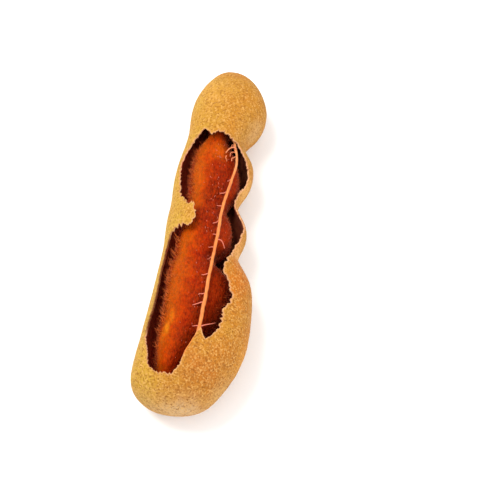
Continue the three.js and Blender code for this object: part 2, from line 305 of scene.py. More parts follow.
print("rind from station", RIND.form["near"], "to", RIND.form["far"])

# %% The form of the pulp
PULP = LobedBody(dict(
    near=4.5, far=100.5, near_cap=9, far_cap=8, near_power=2.1, far_power=2.0,
    fullness=2.1, lowest=1.3,
    spine=[
        (4.5, -5.7, 9.5), (12.5, -4.9, 10.6), (20.5, -3.9, 11.2), (30.5, -2.7, 11.4),
        (40.5, -2.1, 11.0), (50.5, -1.3, 10.7), (60.5, -0.7, 10.4), (70.5, -0.5, 10.2),
        (80.5, -0.3, 9.9), (88.5, 1.1, 9.6), (100.5, 2.3, 9.4),
    ],
    reach=[
        (4.5, 4.6, 4.6, 6.4, 6.0), (12.5, 4.8, 5.0, 7.6, 7.4), (19.5, 5.8, 7.0, 8.3, 8.2),
        (26.5, 6.7, 10.2, 8.7, 8.6), (35.5, 7.3, 11.6, 8.8, 8.8),
        (44.5, 7.3, 10.4, 8.4, 7.6), (52.5, 6.8, 8.8, 7.8, 7.6),
        (60.5, 5.9, 8.4, 7.3, 6.6), (70.5, 6.4, 8.4, 7.5, 7.2),
        (77.5, 5.8, 6.4, 7.2, 6.6), (84.5, 3.2, 2.9, 6.2, 4.8),
        (90.5, 5.6, 5.4, 6.2, 6.0), (100.5, 6.0, 6.0, 5.6, 5.8),
    ],
    waists=[(44.5, 0.48, 3.6), (60.5, 0.30, 3.8)],
    waist_share=dict(left=0.15, right=1.0, up=0.12, down=0.35),
))
print("pulp from station", PULP.form["near"], "to", PULP.form["far"])

# %% [markdown]
# ## Mesh helpers
#
# Every piece below ends as a plain mesh object. One helper turns millimetre points
# into a smooth object, and one stores a number on each point, which the material can
# read later. Rings of points along a body are the usual way to build such a mesh: they
# are set close together towards the tips, where the form turns fast.

# %% Mesh helpers


def object_from(name, points_mm, faces):
    mesh = bpy.data.meshes.new(name)
    mesh.from_pydata((np.asarray(points_mm) * MM).tolist(), [], faces)
    mesh.update()
    mesh.shade_smooth()
    piece = bpy.data.objects.new(name, mesh)
    bpy.context.collection.objects.link(piece)
    return piece


def store_on_points(piece, name, values):
    layer = piece.data.attributes.new(name, "FLOAT", "POINT")
    layer.data.foreach_set("value", np.asarray(values, dtype=np.float32))


print("a piece is made in millimetres, 1 mm =", MM, "m")

# %% Rings and noise


def ring_stations(form, cap_rings, body_rings):
    """Stations of rings, crowded towards the tips, with both tips left out."""
    turn = np.linspace(0, np.pi / 2, cap_rings + 1)[1:]
    near = form["near"] + form["near_cap"] * (1 - np.cos(turn))
    start = form["near"] + form["near_cap"]
    end = form["far"] - form["far_cap"]
    body = np.linspace(start, end, body_rings + 1)[1:]
    far = end + form["far_cap"] * np.sin(turn[:-1])
    return np.concatenate([near, body, far])


def ring_faces(rings, sides):
    """Faces over rings of points, with one point before the first and after the last."""
    faces = []
    last = 1 + rings * sides
    for side in range(sides):
        after = (side + 1) % sides
        faces.append((0, 1 + side, 1 + after))
        for ring in range(rings - 1):
            a, b = 1 + ring * sides, 1 + (ring + 1) * sides
            faces.append((a + side, b + side, b + after, a + after))
        end = 1 + (rings - 1) * sides
        faces.append((end + side, last, end + after))
    return faces


def noise_at(points_mm, size_mm, octaves=3):
    """Smooth noise at each point, about -1 to 1, with bumps of about the given size."""
    dimension, lacunarity = 1.0, 2.0
    return np.array([
        noise.fractal(Vector(point) / size_mm, dimension, lacunarity, octaves)
        for point in points_mm])


print("3 rings of 8 sides have", len(ring_faces(3, 8)), "faces")

# %% [markdown]
# ## The rind, drawn flat and wrapped
#
# The rind broke with small teeth all round the opening. A boolean cut would leave
# needle-thin faces there. Instead the rind is drawn flat first, like a label before it
# goes round a jar: x is the station and y is the way round. The opening is drawn by a
# few points, stretch by stretch, and each stretch says how roughly it tore: the tongue
# parted almost clean, and the left side past the tab is coarse. A function then breaks
# the lines between the points into teeth.

# %% The outline of the opening
# where, how roughly it tore, then points as station and angle
OPENING_EDGE = [
    ("stalk end", 1.0, [
        (81, 127.2), (83.3, 120.7), (83.4, 113.8), (81.7, 101), (82.9, 91), (82.7, 80),
        (81.8, 68), (80.8, 56)]),
    ("right side, three scallops that follow the waists", 1.0, [
        (80.4, 48), (78.2, 43), (76.5, 37.5), (74.6, 33), (72.9, 28), (71.4, 23),
        (69.7, 20.5), (68.2, 19), (67.1, 22), (65.6, 27.5), (64.1, 24.5), (62.6, 26.5),
        (60.5, 29.5), (58.5, 27), (56.4, 21), (54.9, 18), (53.3, 20), (52.3, 24),
        (50.4, 21), (48.5, 27), (46.5, 31), (44.8, 38), (42.9, 48), (40.5, 54), (39, 56),
        (37.3, 54), (35.6, 49.5), (30.5, 44), (28.4, 48.5), (27.2, 52.5), (24.9, 54),
        (20.5, 56)]),
    ("tongue that carries the end of the seam strand", 0.15, [
        (18.2, 61), (16.9, 66.8), (18, 70.8), (20, 75.5), (18.7, 79), (15.5, 81.9),
        (13, 84.4)]),
    ("blossom end", 0.7, [
        (9.8, 84.3), (7.1, 90.3), (7.3, 115.7), (9, 125.2), (12.6, 131.6),
        (14.9, 137.2)]),
    ("left side, nearly straight", 0.6, [
        (17.7, 145.6), (21.6, 146.5), (25.5, 143.3), (31, 144), (37.5, 145.5), (45, 146)]),
    ("tab left standing on the left side", 1.8, [
        (49.3, 142), (51, 128.1), (51.5, 108), (53.4, 101), (56, 101.5), (59, 107.5),
        (59.3, 119)]),
    ("left side past the tab, coarse", 1.5, [
        (61.2, 130), (63.4, 137.5), (65.2, 139), (69.5, 143), (73.1, 145), (75.2, 142.2),
        (78.3, 134.1)]),
]
print("opening:", [stretch[0] for stretch in OPENING_EDGE])

# %% Teeth of the broken edge
MM_PER_DEGREE = 0.21
TOOTH_WIDTH, TOOTH_DEPTH = 1.25, 0.50
WIDTH_BY_ROUGHNESS = (0.7, 1.2)
WIDTH_SPREAD, DEPTH_SPREAD = (0.5, 1.5), (0.5, 1.1)
CHIP_DEPTH = 0.07
# share of a tooth's width, share of its depth; plus is into the rind
BITE = [(0.0, -0.25), (0.18, 0.40), (0.45, 0.85), (0.75, 0.55)]
BUMP = [(0.0, 0.65), (0.20, 0.0), (0.50, -0.30), (0.80, -0.10)]


def broken(stretches, dice):
    """Turns an outline into small bites and bumps with sharp corners, of mixed widths."""
    corners = [
        (np.array(point) * (1, MM_PER_DEGREE), roughness)
        for _, roughness, points in stretches for point in points]
    rough = []
    for (start, roughness), (end, _) in zip(corners, corners[1:] + corners[:1]):
        run = end - start
        length = np.hypot(*run)
        into_rind = np.array([-run[1], run[0]]) / length
        usual_width = TOOTH_WIDTH * np.clip(roughness, *WIDTH_BY_ROUGHNESS)
        teeth = max(1, round(length / usual_width))
        widths = np.array([dice.uniform(*WIDTH_SPREAD) for _ in range(teeth)])
        ends = np.concatenate([[0], np.cumsum(widths)]) / widths.sum()
        for first, last, width in zip(ends, ends[1:], widths):
            depth = TOOTH_DEPTH * roughness * width * dice.uniform(*DEPTH_SPREAD)
            for share, push in dice.choice([BITE, BUMP]):
                chip = dice.uniform(-CHIP_DEPTH, CHIP_DEPTH) * min(1, roughness)
                place = start + run * (first + share * (last - first))
                rough.append(place + into_rind * (push * depth + chip))
    return np.array(rough)


edge_dice = random.Random(7)
broken_edge = broken(OPENING_EDGE, edge_dice)
print("broken edge:", len(broken_edge), "points")

# %% [markdown]
# ## The rind sheet
#
# The sheet is a grid of points with the opening left out of it. A constrained Delaunay
# triangulation fills it and keeps every tooth of the broken edge as an edge of the mesh.
# Points of the grid that come close to the edge are dropped first, so that no face
# there is a needle. The two long sides of the sheet meet underneath, out of sight.

# %% Distance to the broken edge


def signed_distance(points, outline):
    """Distance of flat points to a closed outline, negative inside it."""
    nearest = np.full(len(points), np.inf)
    inside = np.zeros(len(points), bool)
    for start, end in zip(outline, np.roll(outline, -1, axis=0)):
        run = end - start
        share = np.clip((points - start) @ run / (run @ run), 0, 1)
        foot = start + share[:, None] * run
        nearest = np.minimum(nearest, np.hypot(*(points - foot).T))
        straddles = (points[:, 1] < start[1]) != (points[:, 1] < end[1])
        if start[1] != end[1]:
            crossing = start[0] + (points[:, 1] - start[1]) * run[0] / run[1]
            inside ^= straddles & (points[:, 0] < crossing)
    return np.where(inside, -nearest, nearest)


opening_middle = broken_edge.mean(axis=0, keepdims=True)
to_edge = -signed_distance(opening_middle, broken_edge)[0]
print("from the middle of the opening to its edge:", round(float(to_edge), 1), "mm")

# %% The rind sheet
RIND_SIDES = 168
RIND_CAP_RINGS, RIND_BODY_RINGS = 30, 150
MESH_SEAM_ANGLE = -90
CLEAR_OF_EDGE = 0.22
WHOLE_HULL, SAME_POINT = 0, 1e-6

rind_stations = np.concatenate([
    [RIND.form["near"]],
    ring_stations(RIND.form, RIND_CAP_RINGS, RIND_BODY_RINGS),
    [RIND.form["far"]],
])
rind_angles = MESH_SEAM_ANGLE + np.linspace(0, 360, RIND_SIDES + 1)
sheet_grid = np.meshgrid(rind_stations, rind_angles * MM_PER_DEGREE, indexing="ij")
sheet = np.stack(sheet_grid, axis=-1).reshape(-1, 2)
kept = sheet[signed_distance(sheet, broken_edge) > CLEAR_OF_EDGE]
flat_points = np.concatenate([broken_edge, kept])
edge_links = [(i, (i + 1) % len(broken_edge)) for i in range(len(broken_edge))]
flat, _, flat_faces, *_ = delaunay_2d_cdt(
    [Vector(point) for point in flat_points], edge_links, [], WHOLE_HULL, SAME_POINT)
flat = np.array([tuple(point) for point in flat])
middles = flat[np.array(flat_faces)].mean(axis=1)
outside = signed_distance(middles, broken_edge) > 0
rind_faces = [face for face, keep in zip(flat_faces, outside) if keep]
print("rind sheet:", len(flat), "points,", len(rind_faces), "faces")

# %% [markdown]
# ## Wrap it and make it thick
#
# Each point of the sheet goes to its station and angle on the lobed body. Slow noise
# dents the skin a little, but not where it rests on the floor or at the tips. Solidify
# then gives the sheet the thickness of a real rind, thinner at the break, with one
# material for the skin, one for the broken edge and one for the lining. The distance to
# the break is stored on every point, because the finish wears the skin there and paints
# shade along it on the left strip.

# %% Wrap the sheet
SWELL_DEPTH, SWELL_SIZE = 0.16, 6.0
FULL_SWELL_ABOVE = 1.5
FARTHEST_EDGE_GAP = 5

wrap_station = np.clip(flat[:, 0], RIND.form["near"], RIND.form["far"])
wrap_angle = flat[:, 1] / MM_PER_DEGREE
rind_points = RIND.surface(wrap_station, wrap_angle)
rind_normals = RIND.normal(wrap_station, wrap_angle)
swell = noise_at(rind_points, SWELL_SIZE)
above_floor = np.clip(rind_points[:, 2] / FULL_SWELL_ABOVE, 0, 1)
may_swell = above_floor * RIND.cap_share(wrap_station) ** 0.5
push_in = SWELL_DEPTH * (0.5 - 0.5 * np.clip(swell, -1, 1)) * may_swell
rind_points = rind_points - rind_normals * push_in[:, None]
rind = object_from("rind", rind_points, rind_faces)
edge_gaps = np.clip(signed_distance(flat, broken_edge), 0, FARTHEST_EDGE_GAP)
store_on_points(rind, "edge_gap", edge_gaps)
print("deepest dent:", round(float(push_in.max()), 2), "mm")

# %% Join the long sides and give the rind its thickness
WELD_DISTANCE = 0.01
RIND_THICKNESS = 0.85
THIN_AT_BREAK, THIN_FOR = 0.45, 1.6
SKIN, LINING, BROKEN_EDGE = 0, 1, 2
CREASE_ANGLE = math.radians(55)


def weld(piece, distance_mm):
    body = bmesh.new()
    body.from_mesh(piece.data)
    bmesh.ops.remove_doubles(body, verts=body.verts, dist=distance_mm * MM)
    body.to_mesh(piece.data)
    body.free()


def apply_modifiers(piece):
    evaluated = piece.evaluated_get(bpy.context.evaluated_depsgraph_get())
    finished = bpy.data.meshes.new_from_object(evaluated)
    piece.modifiers.clear()
    piece.data = finished
    finished.shade_smooth()
    finished.set_sharp_from_angle(angle=CREASE_ANGLE)


weld(rind, WELD_DISTANCE)
gaps = np.zeros(len(rind.data.vertices), dtype=np.float32)
rind.data.attributes["edge_gap"].data.foreach_get("value", gaps)
thinning = rind.vertex_groups.new(name="thickness")
for index, share in enumerate(np.clip(gaps / THIN_FOR, 0, 1)):
    thinning.add([index], float(share * (2 - share)), "REPLACE")
for _ in (SKIN, LINING, BROKEN_EDGE):
    rind.data.materials.append(None)
thickness = rind.modifiers.new("thickness", "SOLIDIFY")
thickness.thickness = RIND_THICKNESS * MM
thickness.offset = -1
thickness.vertex_group = thinning.name
thickness.thickness_vertex_group = THIN_AT_BREAK
thickness.material_offset = LINING
thickness.material_offset_rim = BROKEN_EDGE
apply_modifiers(rind)
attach(rind, "root")
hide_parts("shell")
print("rind:", len(rind.data.vertices), "points,", len(rind.data.polygons), "faces")

# %% [markdown]
# ## The stalk stub
#
# The pod hung from its tree by a short woody stalk, and a stub of it stays low on the
# tip of the stalk end. A turned profile gives the corky collar and the snapped neck.
# Ridges run along it, as on any dry twig, so the turned shape is pushed in and out by
# two waves round it. Then it is tipped down and sunk a little into the rind.

# %% Stalk stub
STALK = dict(length=3.6, scar_radius=2.3, neck_radius=1.25, tip_radius=1.45)
STALK_PLACE = dict(station=104.6, angle=250, droop=math.radians(38), sink=1.4)
# ridges round it, where they start, depth as a share of the radius
STALK_RIDGES = [(9, 0.6, 0.05), (17, 0.0, 0.035)]
STALK_SIDES, STALK_RINGS = 72, 48


def make_stalk():
    length, scar = STALK["length"], STALK["scar_radius"]
    neck, tip = STALK["neck_radius"], STALK["tip_radius"]
    profile = np.array([
        (0, 0), (0.8 * scar, 0), (scar, 0.3 * length), (0.85 * scar, 0.45 * length),
        (neck, 0.6 * length), (neck, 0.8 * length), (tip, 0.95 * length),
        (0.7 * tip, length), (0, length)])
    run = np.concatenate([[0], np.cumsum(np.hypot(*np.diff(profile, axis=0).T))])
    wanted = np.linspace(0, run[-1], STALK_RINGS)[1:-1]
    radius = np.interp(wanted, run, profile[:, 0])
    height = np.interp(wanted, run, profile[:, 1])
    turn = np.linspace(0, 2 * np.pi, STALK_SIDES, endpoint=False)
    ridges = sum(depth * np.sin(count * turn + start) for count, start, depth in STALK_RIDGES)
    swollen = radius[:, None] * (1 + ridges)
    rings = np.stack([
        swollen * np.sin(turn), np.broadcast_to(height[:, None], swollen.shape),
        swollen * np.cos(turn)], axis=-1)
    points = np.concatenate([[(0, 0, 0)], rings.reshape(-1, 3), [(0, length, 0)]])
    points[:, 1] -= STALK_PLACE["sink"]
    droop = STALK_PLACE["droop"]
    y = points[:, 1] * math.cos(droop) + points[:, 2] * math.sin(droop)
    z = points[:, 2] * math.cos(droop) - points[:, 1] * math.sin(droop)
    points = np.stack([points[:, 0], y, z], axis=-1)
    points += RIND.surface(STALK_PLACE["station"], STALK_PLACE["angle"])
    return object_from("stalk_stub", points, ring_faces(len(wanted), STALK_SIDES))


stalk = make_stalk()
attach(stalk, "root")
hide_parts("shell")
print("stalk stub:", len(stalk.data.polygons), "faces")

# %% [markdown]
# ## The pulp
#
# The pulp is one sticky ridge that runs through all the lobes. It dries into shallow
# wrinkles, and a finer grain of fibres and pores lies over them. A bump map would fake
# that only in the light, so all three are moved into the mesh. The colour turns from
# orange on the left to a deep red on the right, partly the pulp's own hue and partly
# painted light on the left, where the lamp falls, and painted shade on the right, so the
# way round the ridge is kept on each point: 0 on the right, 0.5 on top and 1 on the left.

# %% Wrinkles
PULP_WRINKLE_DEPTH = 0.35


def wrinkle(station, angle):
    """Shallow wrinkles of drying, between 0 and 1."""
    turn = np.radians(angle)
    ripple = np.sin(5 * turn + 0.16 * station + 1.3 * np.sin(0.11 * station))
    fold = np.sin(0.62 * station + 1.7 * np.sin(2 * turn + 0.4))
    twist = np.sin(0.31 * station - 3 * turn + 0.9)
    return 0.5 + (ripple + fold + twist) / 6


def pulp_surface(station, angle):
    """The wrinkled surface, which the fibres grow from too."""
    inward = PULP_WRINKLE_DEPTH * wrinkle(station, angle)
    return PULP.surface(station, angle) - PULP.normal(station, angle) * inward[..., None]


print("top of the pulp:", pulp_surface(PULP.form["far"] / 2, np.array(90.0)).round(1), "mm")

# %% Pulp
PULP_SIDES = 168
PULP_CAP_RINGS, PULP_BODY_RINGS = 22, 226
PULP_GRAIN_DEPTH, PULP_GRAIN_SIZE = 0.13, 1.4
PULP_GRAIN_SQUEEZE = (1, 0.6, 1)
PULP_PORE_DEPTH, PULP_PORE_SIZE = 0.07, 0.5
PULP_SET_BACK = 0.08
ON_TOP = 0.5

pulp_stations = ring_stations(PULP.form, PULP_CAP_RINGS, PULP_BODY_RINGS)
pulp_angles = MESH_SEAM_ANGLE + np.linspace(0, 360, PULP_SIDES, endpoint=False)
station_grid, angle_grid = np.meshgrid(pulp_stations, pulp_angles, indexing="ij")
pulp_points = pulp_surface(station_grid, angle_grid).reshape(-1, 3)
pulp_normals = PULP.normal(station_grid, angle_grid).reshape(-1, 3)
grain = noise_at(pulp_points * PULP_GRAIN_SQUEEZE, PULP_GRAIN_SIZE)
pores = noise_at(pulp_points, PULP_PORE_SIZE, 2)
relief = PULP_GRAIN_DEPTH * np.clip(grain, -1, 1) + PULP_PORE_DEPTH * np.clip(pores, -1, 1)
pulp_points = pulp_points + pulp_normals * (relief - PULP_SET_BACK)[:, None]
pulp_points[:, 2] = np.maximum(pulp_points[:, 2], PULP.form["lowest"])
tips = [PULP.surface(PULP.form["near"], 0), PULP.surface(PULP.form["far"], 0)]
all_pulp_points = np.concatenate([tips[:1], pulp_points, tips[1:]])
pulp = object_from("pulp_ridge", all_pulp_points, ring_faces(len(pulp_stations), PULP_SIDES))
way_round = (angle_grid.reshape(-1) % 360) / 180
store_on_points(pulp, "way_round", np.concatenate([[ON_TOP], way_round, [ON_TOP]]))
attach(pulp, "root")
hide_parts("pulp")
print("pulp:", len(pulp.data.vertices), "points,", len(pulp.data.polygons), "faces")

# %% [markdown]
# ## The seam strand
#
# A tough strand runs along the seam of the pod and fed the pulp. A curve object with a
# bevel could make it, but its section would stay plain. A sweep of rings along a smooth
# route is as easy and lets each ring be a little flatter than round, knotty and grooved,
# because the strand is a bundle of fibres.

# %% Sweep along a route
# grooves round a strand, and how far they twist from ring to ring
GROOVES = [(5, 0.12), (8, -0.07)]
UP = np.array([0.0, 0.0, 1.0])


def sweep(route, widths, sides, thickness=1.0, groove_depth=0.0):
    """Points and faces of a tapered strand of fibres along a route of points."""
    route = np.asarray(route, float)
    tangents = np.gradient(route, axis=0)
    tangents /= np.linalg.norm(tangents, axis=1, keepdims=True)
    turn = np.linspace(0, 2 * np.pi, sides, endpoint=False)
    rings = []
    for step, (place, tangent, width) in enumerate(zip(route, tangents, widths)):
        aside = np.cross(tangent, UP)
        aside /= max(np.linalg.norm(aside), 1e-9)
        above = np.cross(aside, tangent)
        bundle = 1 + groove_depth * sum(
            np.sin(count * turn + twist * step) for count, twist in GROOVES)
        rings.append(
            place + width * bundle[:, None] * (
                np.outer(np.cos(turn), aside) + thickness * np.outer(np.sin(turn), above)))
    points = np.concatenate([[route[0]], np.concatenate(rings), [route[-1]]])
    return points, ring_faces(len(route), sides)


def joined(parts):
    """One list of points and faces out of several."""
    points, faces, count = [], [], 0
    for part_points, part_faces in parts:
        points.append(part_points)
        faces += [tuple(index + count for index in face) for face in part_faces]
        count += len(part_points)
    return np.concatenate(points), faces


print("a strand has", sum(count for count, _ in GROOVES), "grooves, in", len(GROOVES), "waves")

# %% Seam strand
# station, x, z
STRAND_ROUTE = [
    (15.5, 1.55, 21.7), (19.5, 2.0, 21.5), (23.5, 2.2, 20.9), (30.5, 2.6, 20.3),
    (37.5, 2.95, 19.9), (44.5, 3.35, 18.7), (52.5, 3.85, 18.3), (59.5, 4.2, 17.4),
    (66.5, 5.4, 17.0), (72.5, 6.5, 17.1), (76.5, 6.25, 16.8), (79.0, 5.6, 16.1),
    (81.0, 5.3, 15.4), (83.0, 4.4, 14.2),
]
# station, half width
STRAND_WIDTHS = [
    (15.5, 0.60), (19.5, 0.62), (23.5, 0.54), (44.5, 0.48), (66.5, 0.42), (83, 0.36)]
STRAND_STEPS, STRAND_SIDES = 300, 24
STRAND_THICKNESS, STRAND_GROOVE_DEPTH = 0.8, 0.035
# how much, waves per millimetre, and a place in the noise
WANDER = (0.13, 0.35, (4.2, 1.0))
KNOTS = (0.22, 0.9, (0.3, 7.0))


def noise_along(stations, amount, pitch, start):
    return amount * np.array([noise.noise(Vector((s * pitch, *start))) for s in stations])


route_stations, route_x, route_z = np.array(STRAND_ROUTE).T
strand_x = smooth_through(route_stations, route_x)
strand_z = smooth_through(route_stations, route_z)
strand_width = smooth_through(*np.array(STRAND_WIDTHS).T)
strand_stations = np.linspace(route_stations[0], route_stations[-1], STRAND_STEPS)
strand_route = np.stack([
    strand_x(strand_stations) + noise_along(strand_stations, *WANDER),
    BLOSSOM_Y + strand_stations,
    strand_z(strand_stations)], axis=-1)
knotty_width = strand_width(strand_stations) * (1 + noise_along(strand_stations, *KNOTS))
strand_points, strand_faces = sweep(
    strand_route, knotty_width, STRAND_SIDES, STRAND_THICKNESS, STRAND_GROOVE_DEPTH)
strand = object_from("seam_strand", strand_points, strand_faces)
ring_facing_up = np.sin(np.linspace(0, 2 * np.pi, STRAND_SIDES, endpoint=False))
facing_up = np.concatenate([[0], np.tile(ring_facing_up, STRAND_STEPS), [0]])
store_on_points(strand, "facing_up", facing_up)
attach(strand, "root")
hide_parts("string")
print("seam strand:", len(strand.data.polygons), "faces")

# %% [markdown]
# ## Rootlets
#
# Fine rootlets leave the strand to both sides and lie down on the pulp. They are the
# same sweep, thinner and without grooves. The height of the pulp under each point is
# looked up, so that a rootlet rests on the ridge instead of cutting into it.

# %% Rootlets of the strand
# station, reach to the side, lean along the pod in millimetres; then the hook, 1 for none
ROOTLETS = [
    (68.8, -1.3, -1.0, 1), (64.5, -2.1, -0.9, 1), (59.6, -1.7, 0.3, 1),
    (55.2, -1.9, -1.7, 1), (50.1, -1.3, 0.3, 1), (48.7, 2.4, -2.0, 2),
    (46.3, -1.8, 0.0, 1), (43.2, -1.5, -0.5, 1), (37.6, -2.1, -0.6, 1),
    (31.6, -2.0, -0.6, 1), (28.9, -3.1, -1.1, 1), (21.2, -2.1, 0.5, 1),
    (21.1, 4.1, 2.1, 1),
]
ROOTLET_DROP = 1.2
ROOTLET_ABOVE_PULP = 0.35
ROOTLET_CURL, ROOTLET_WAVES, ROOTLET_START = 0.16, (4, 7), (0, 6)
ROOTLET_HALF_WIDTHS = (0.20, 0.10)
ROOTLET_STEPS, ROOTLET_SIDES = 14, 8


def rootlet_route(station, reach, lean, hook, dice):
    share = np.linspace(0, 1, ROOTLET_STEPS)
    stations = station + lean * share**hook
    x = strand_x(station) + reach * share ** (1 / hook)
    drop = strand_z(station) - ROOTLET_DROP * share**2
    rest = [PULP.height_above(s, at) + ROOTLET_ABOVE_PULP for s, at in zip(stations, x)]
    waves = share * dice.uniform(*ROOTLET_WAVES) + dice.uniform(*ROOTLET_START)
    curl = ROOTLET_CURL * np.sin(waves) * share
    return np.stack([x, BLOSSOM_Y + stations + curl, np.maximum(drop, rest)], axis=-1)


rootlet_dice = random.Random(11)
rootlet_taper = np.linspace(*ROOTLET_HALF_WIDTHS, ROOTLET_STEPS)
rootlet_parts = [
    sweep(rootlet_route(*rootlet, rootlet_dice), rootlet_taper, ROOTLET_SIDES)
    for rootlet in ROOTLETS]
rootlets = object_from("rootlets", *joined(rootlet_parts))
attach(rootlets, "root")
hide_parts("string")
print("rootlets:", len(ROOTLETS), "in", len(rootlets.data.polygons), "faces")

# %% [markdown]
# ## Fibres on the pulp
#
# The pulp is not smooth: when the rind comes away it leaves torn fibres standing on it.
# They differ by place, so they grow in coats. A short nap lies all over the top. A
# fringe of long thick fibres and many small dabs stand along the left flank, fuzz and a
# fine down hang over its edge, and more fuzz lines the right rim. Hair curves would be
# the quick way, but they would not come through the export, so each fibre is a thin
# tapered mesh with three sides. A seeded dice places them, so every run grows the same
# coat. Pale stubs, thicker and fewer, are left where rootlets broke off.

# %% Coats of fibres
# length and half width in millimetres, rise out of the surface, and how far a fibre
# leans towards the stalk and towards the left
PULP_NAP = dict(length=(0.6, 1.3), width=(0.03, 0.07), rise=0.2, leaning=(0.9, 0.35))
FRINGE = dict(length=(1.6, 2.9), width=(0.12, 0.18), rise=1.1, leaning=(0.55, 0.25))
DABS = dict(length=(0.5, 1.2), width=(0.07, 0.12), rise=0.5, leaning=(0.6, 0.5))
EDGE_FUZZ = dict(length=(0.8, 2.0), width=(0.06, 0.10), rise=1.1, leaning=(0.4, 0.4))
DOWN = dict(length=(0.6, 1.6), width=(0.028, 0.045), rise=0.8, leaning=(0.6, 0.2))
RIM_FUZZ = dict(length=(0.4, 1.0), width=(0.07, 0.11), rise=0.9, leaning=(0.3, -0.5))
SPECK = dict(length=(0.35, 0.9), width=(0.09, 0.14), rise=0.7, leaning=(0.5, 0.4))
# how many, first and last station, middle and spread of the angle, kind of nap
FIBRE_COATS = [
    (2600, (8, 84), (85, 32), PULP_NAP),
    (62, (15, 37), (129, 4), FRINGE),
    (40, (36, 50), (136, 6), FRINGE),
    (260, (58, 81), (128, 10), DABS),
    (260, (14, 50), (118, 12), DABS),
    (300, (56, 82), (146, 10), EDGE_FUZZ),
    (120, (8, 48), (152, 10), EDGE_FUZZ),
    (620, (24, 82), (10, 12), RIM_FUZZ),
    (800, (8, 39), (137, 8), DOWN),
]
SPECK_COATS = [
    (46, (56, 80), (72, 11), SPECK), (34, (12, 56), (70, 10), SPECK),
    (12, (46, 55), (28, 10), SPECK)]
print("fibres to grow:", sum(coat[0] for coat in FIBRE_COATS + SPECK_COATS))

# %% Grow a coat
FIBRE_SIDES, FIBRE_STEPS = 3, 5
FIBRE_ANGLE_LIMITS = (-40, 200)
FIBRE_ROOT_DEPTH = 0.15
LEAN_SPREAD, RISE_SPREAD = 0.4, (0.4, 1.3)
ARC_DROOP = 0.45
LEAN_SHARE, LEAN_POWER = 0.8, 1.3
TIP_TAPER = 0.75
STALKWARD = np.array([0.0, 1.0, 0.0])


def unit(vectors):
    return vectors / np.maximum(np.linalg.norm(vectors, axis=-1, keepdims=True), 1e-9)


def grow_coat(count, stations, angle_spread, nap, dice):
    """Rings of points for many fibres at once, and what the finish needs to know."""
    station = dice.uniform(*stations, count)
    angle = np.clip(dice.normal(*angle_spread, count), *FIBRE_ANGLE_LIMITS)
    length = dice.uniform(*nap["length"], count)[:, None, None]
    width = dice.uniform(*nap["width"], count)[:, None, None, None]
    outward = PULP.normal(station, angle)
    aside = unit(np.cross(outward, STALKWARD))
    aside = np.where(aside[:, :1] > 0, -aside, aside)
    lean = np.array(nap["leaning"]) + dice.uniform(-LEAN_SPREAD, LEAN_SPREAD, (count, 2))
    leaning = lean[:, :1] * STALKWARD + lean[:, 1:] * aside
    rise = nap["rise"] * dice.uniform(*RISE_SPREAD, (count, 1))
    share = np.linspace(0, 1, FIBRE_STEPS)[None, :, None]
    root = pulp_surface(station, angle) - FIBRE_ROOT_DEPTH * outward
    arc = (outward * rise)[:, None] * (share - ARC_DROOP * share**2)
    sideways = leaning[:, None] * LEAN_SHARE * share**LEAN_POWER
    route = root[:, None] + length * (arc + sideways)
    tangent = unit(np.gradient(route, axis=1))
    across = unit(np.cross(tangent, UP))
    above = np.cross(across, tangent)
    turn = np.linspace(0, 2 * np.pi, FIBRE_SIDES, endpoint=False)[None, None, :, None]
    taper = (1 - TIP_TAPER * share)[:, :, None]
    rings = route[:, :, None] + width * taper * (
        np.cos(turn) * across[:, :, None] + np.sin(turn) * above[:, :, None])
    rings = rings.reshape(count, -1, 3)
    points = np.concatenate([route[:, :1], rings, route[:, -1:]], axis=1)
    facts = np.stack([angle / 180, dice.uniform(0, 1, count)], axis=-1)
    return points, facts


print("a fibre has", FIBRE_SIDES, "sides and", FIBRE_STEPS, "rings")

# %% Plant the fibres


def fibre_object(name, coats, dice):
    grown = [grow_coat(*coat, dice) for coat in coats]
    points = np.concatenate([coat_points for coat_points, _ in grown])
    facts = np.concatenate([coat_facts for _, coat_facts in grown])
    count, points_each = points.shape[:2]
    pattern = ring_faces(FIBRE_STEPS, FIBRE_SIDES)
    faces = [
        tuple(index + first for index in face)
        for first in range(0, count * points_each, points_each) for face in pattern]
    piece = object_from(name, points.reshape(-1, 3), faces)
    ring_shares = np.repeat(np.linspace(0, 1, FIBRE_STEPS), FIBRE_SIDES)
    towards_tip = np.concatenate([[0], ring_shares, [1]])
    store_on_points(piece, "towards_tip", np.tile(towards_tip, count))
    store_on_points(piece, "way_round", np.repeat(facts[:, 0], points_each))
    store_on_points(piece, "tone", np.repeat(facts[:, 1], points_each))
    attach(piece, "root")
    print(name + ":", count, "fibres,", len(faces), "faces")
    return piece


fibres = fibre_object("pulp_fibres", FIBRE_COATS, np.random.default_rng(23))
specks = fibre_object("pale_stubs", SPECK_COATS, np.random.default_rng(5))
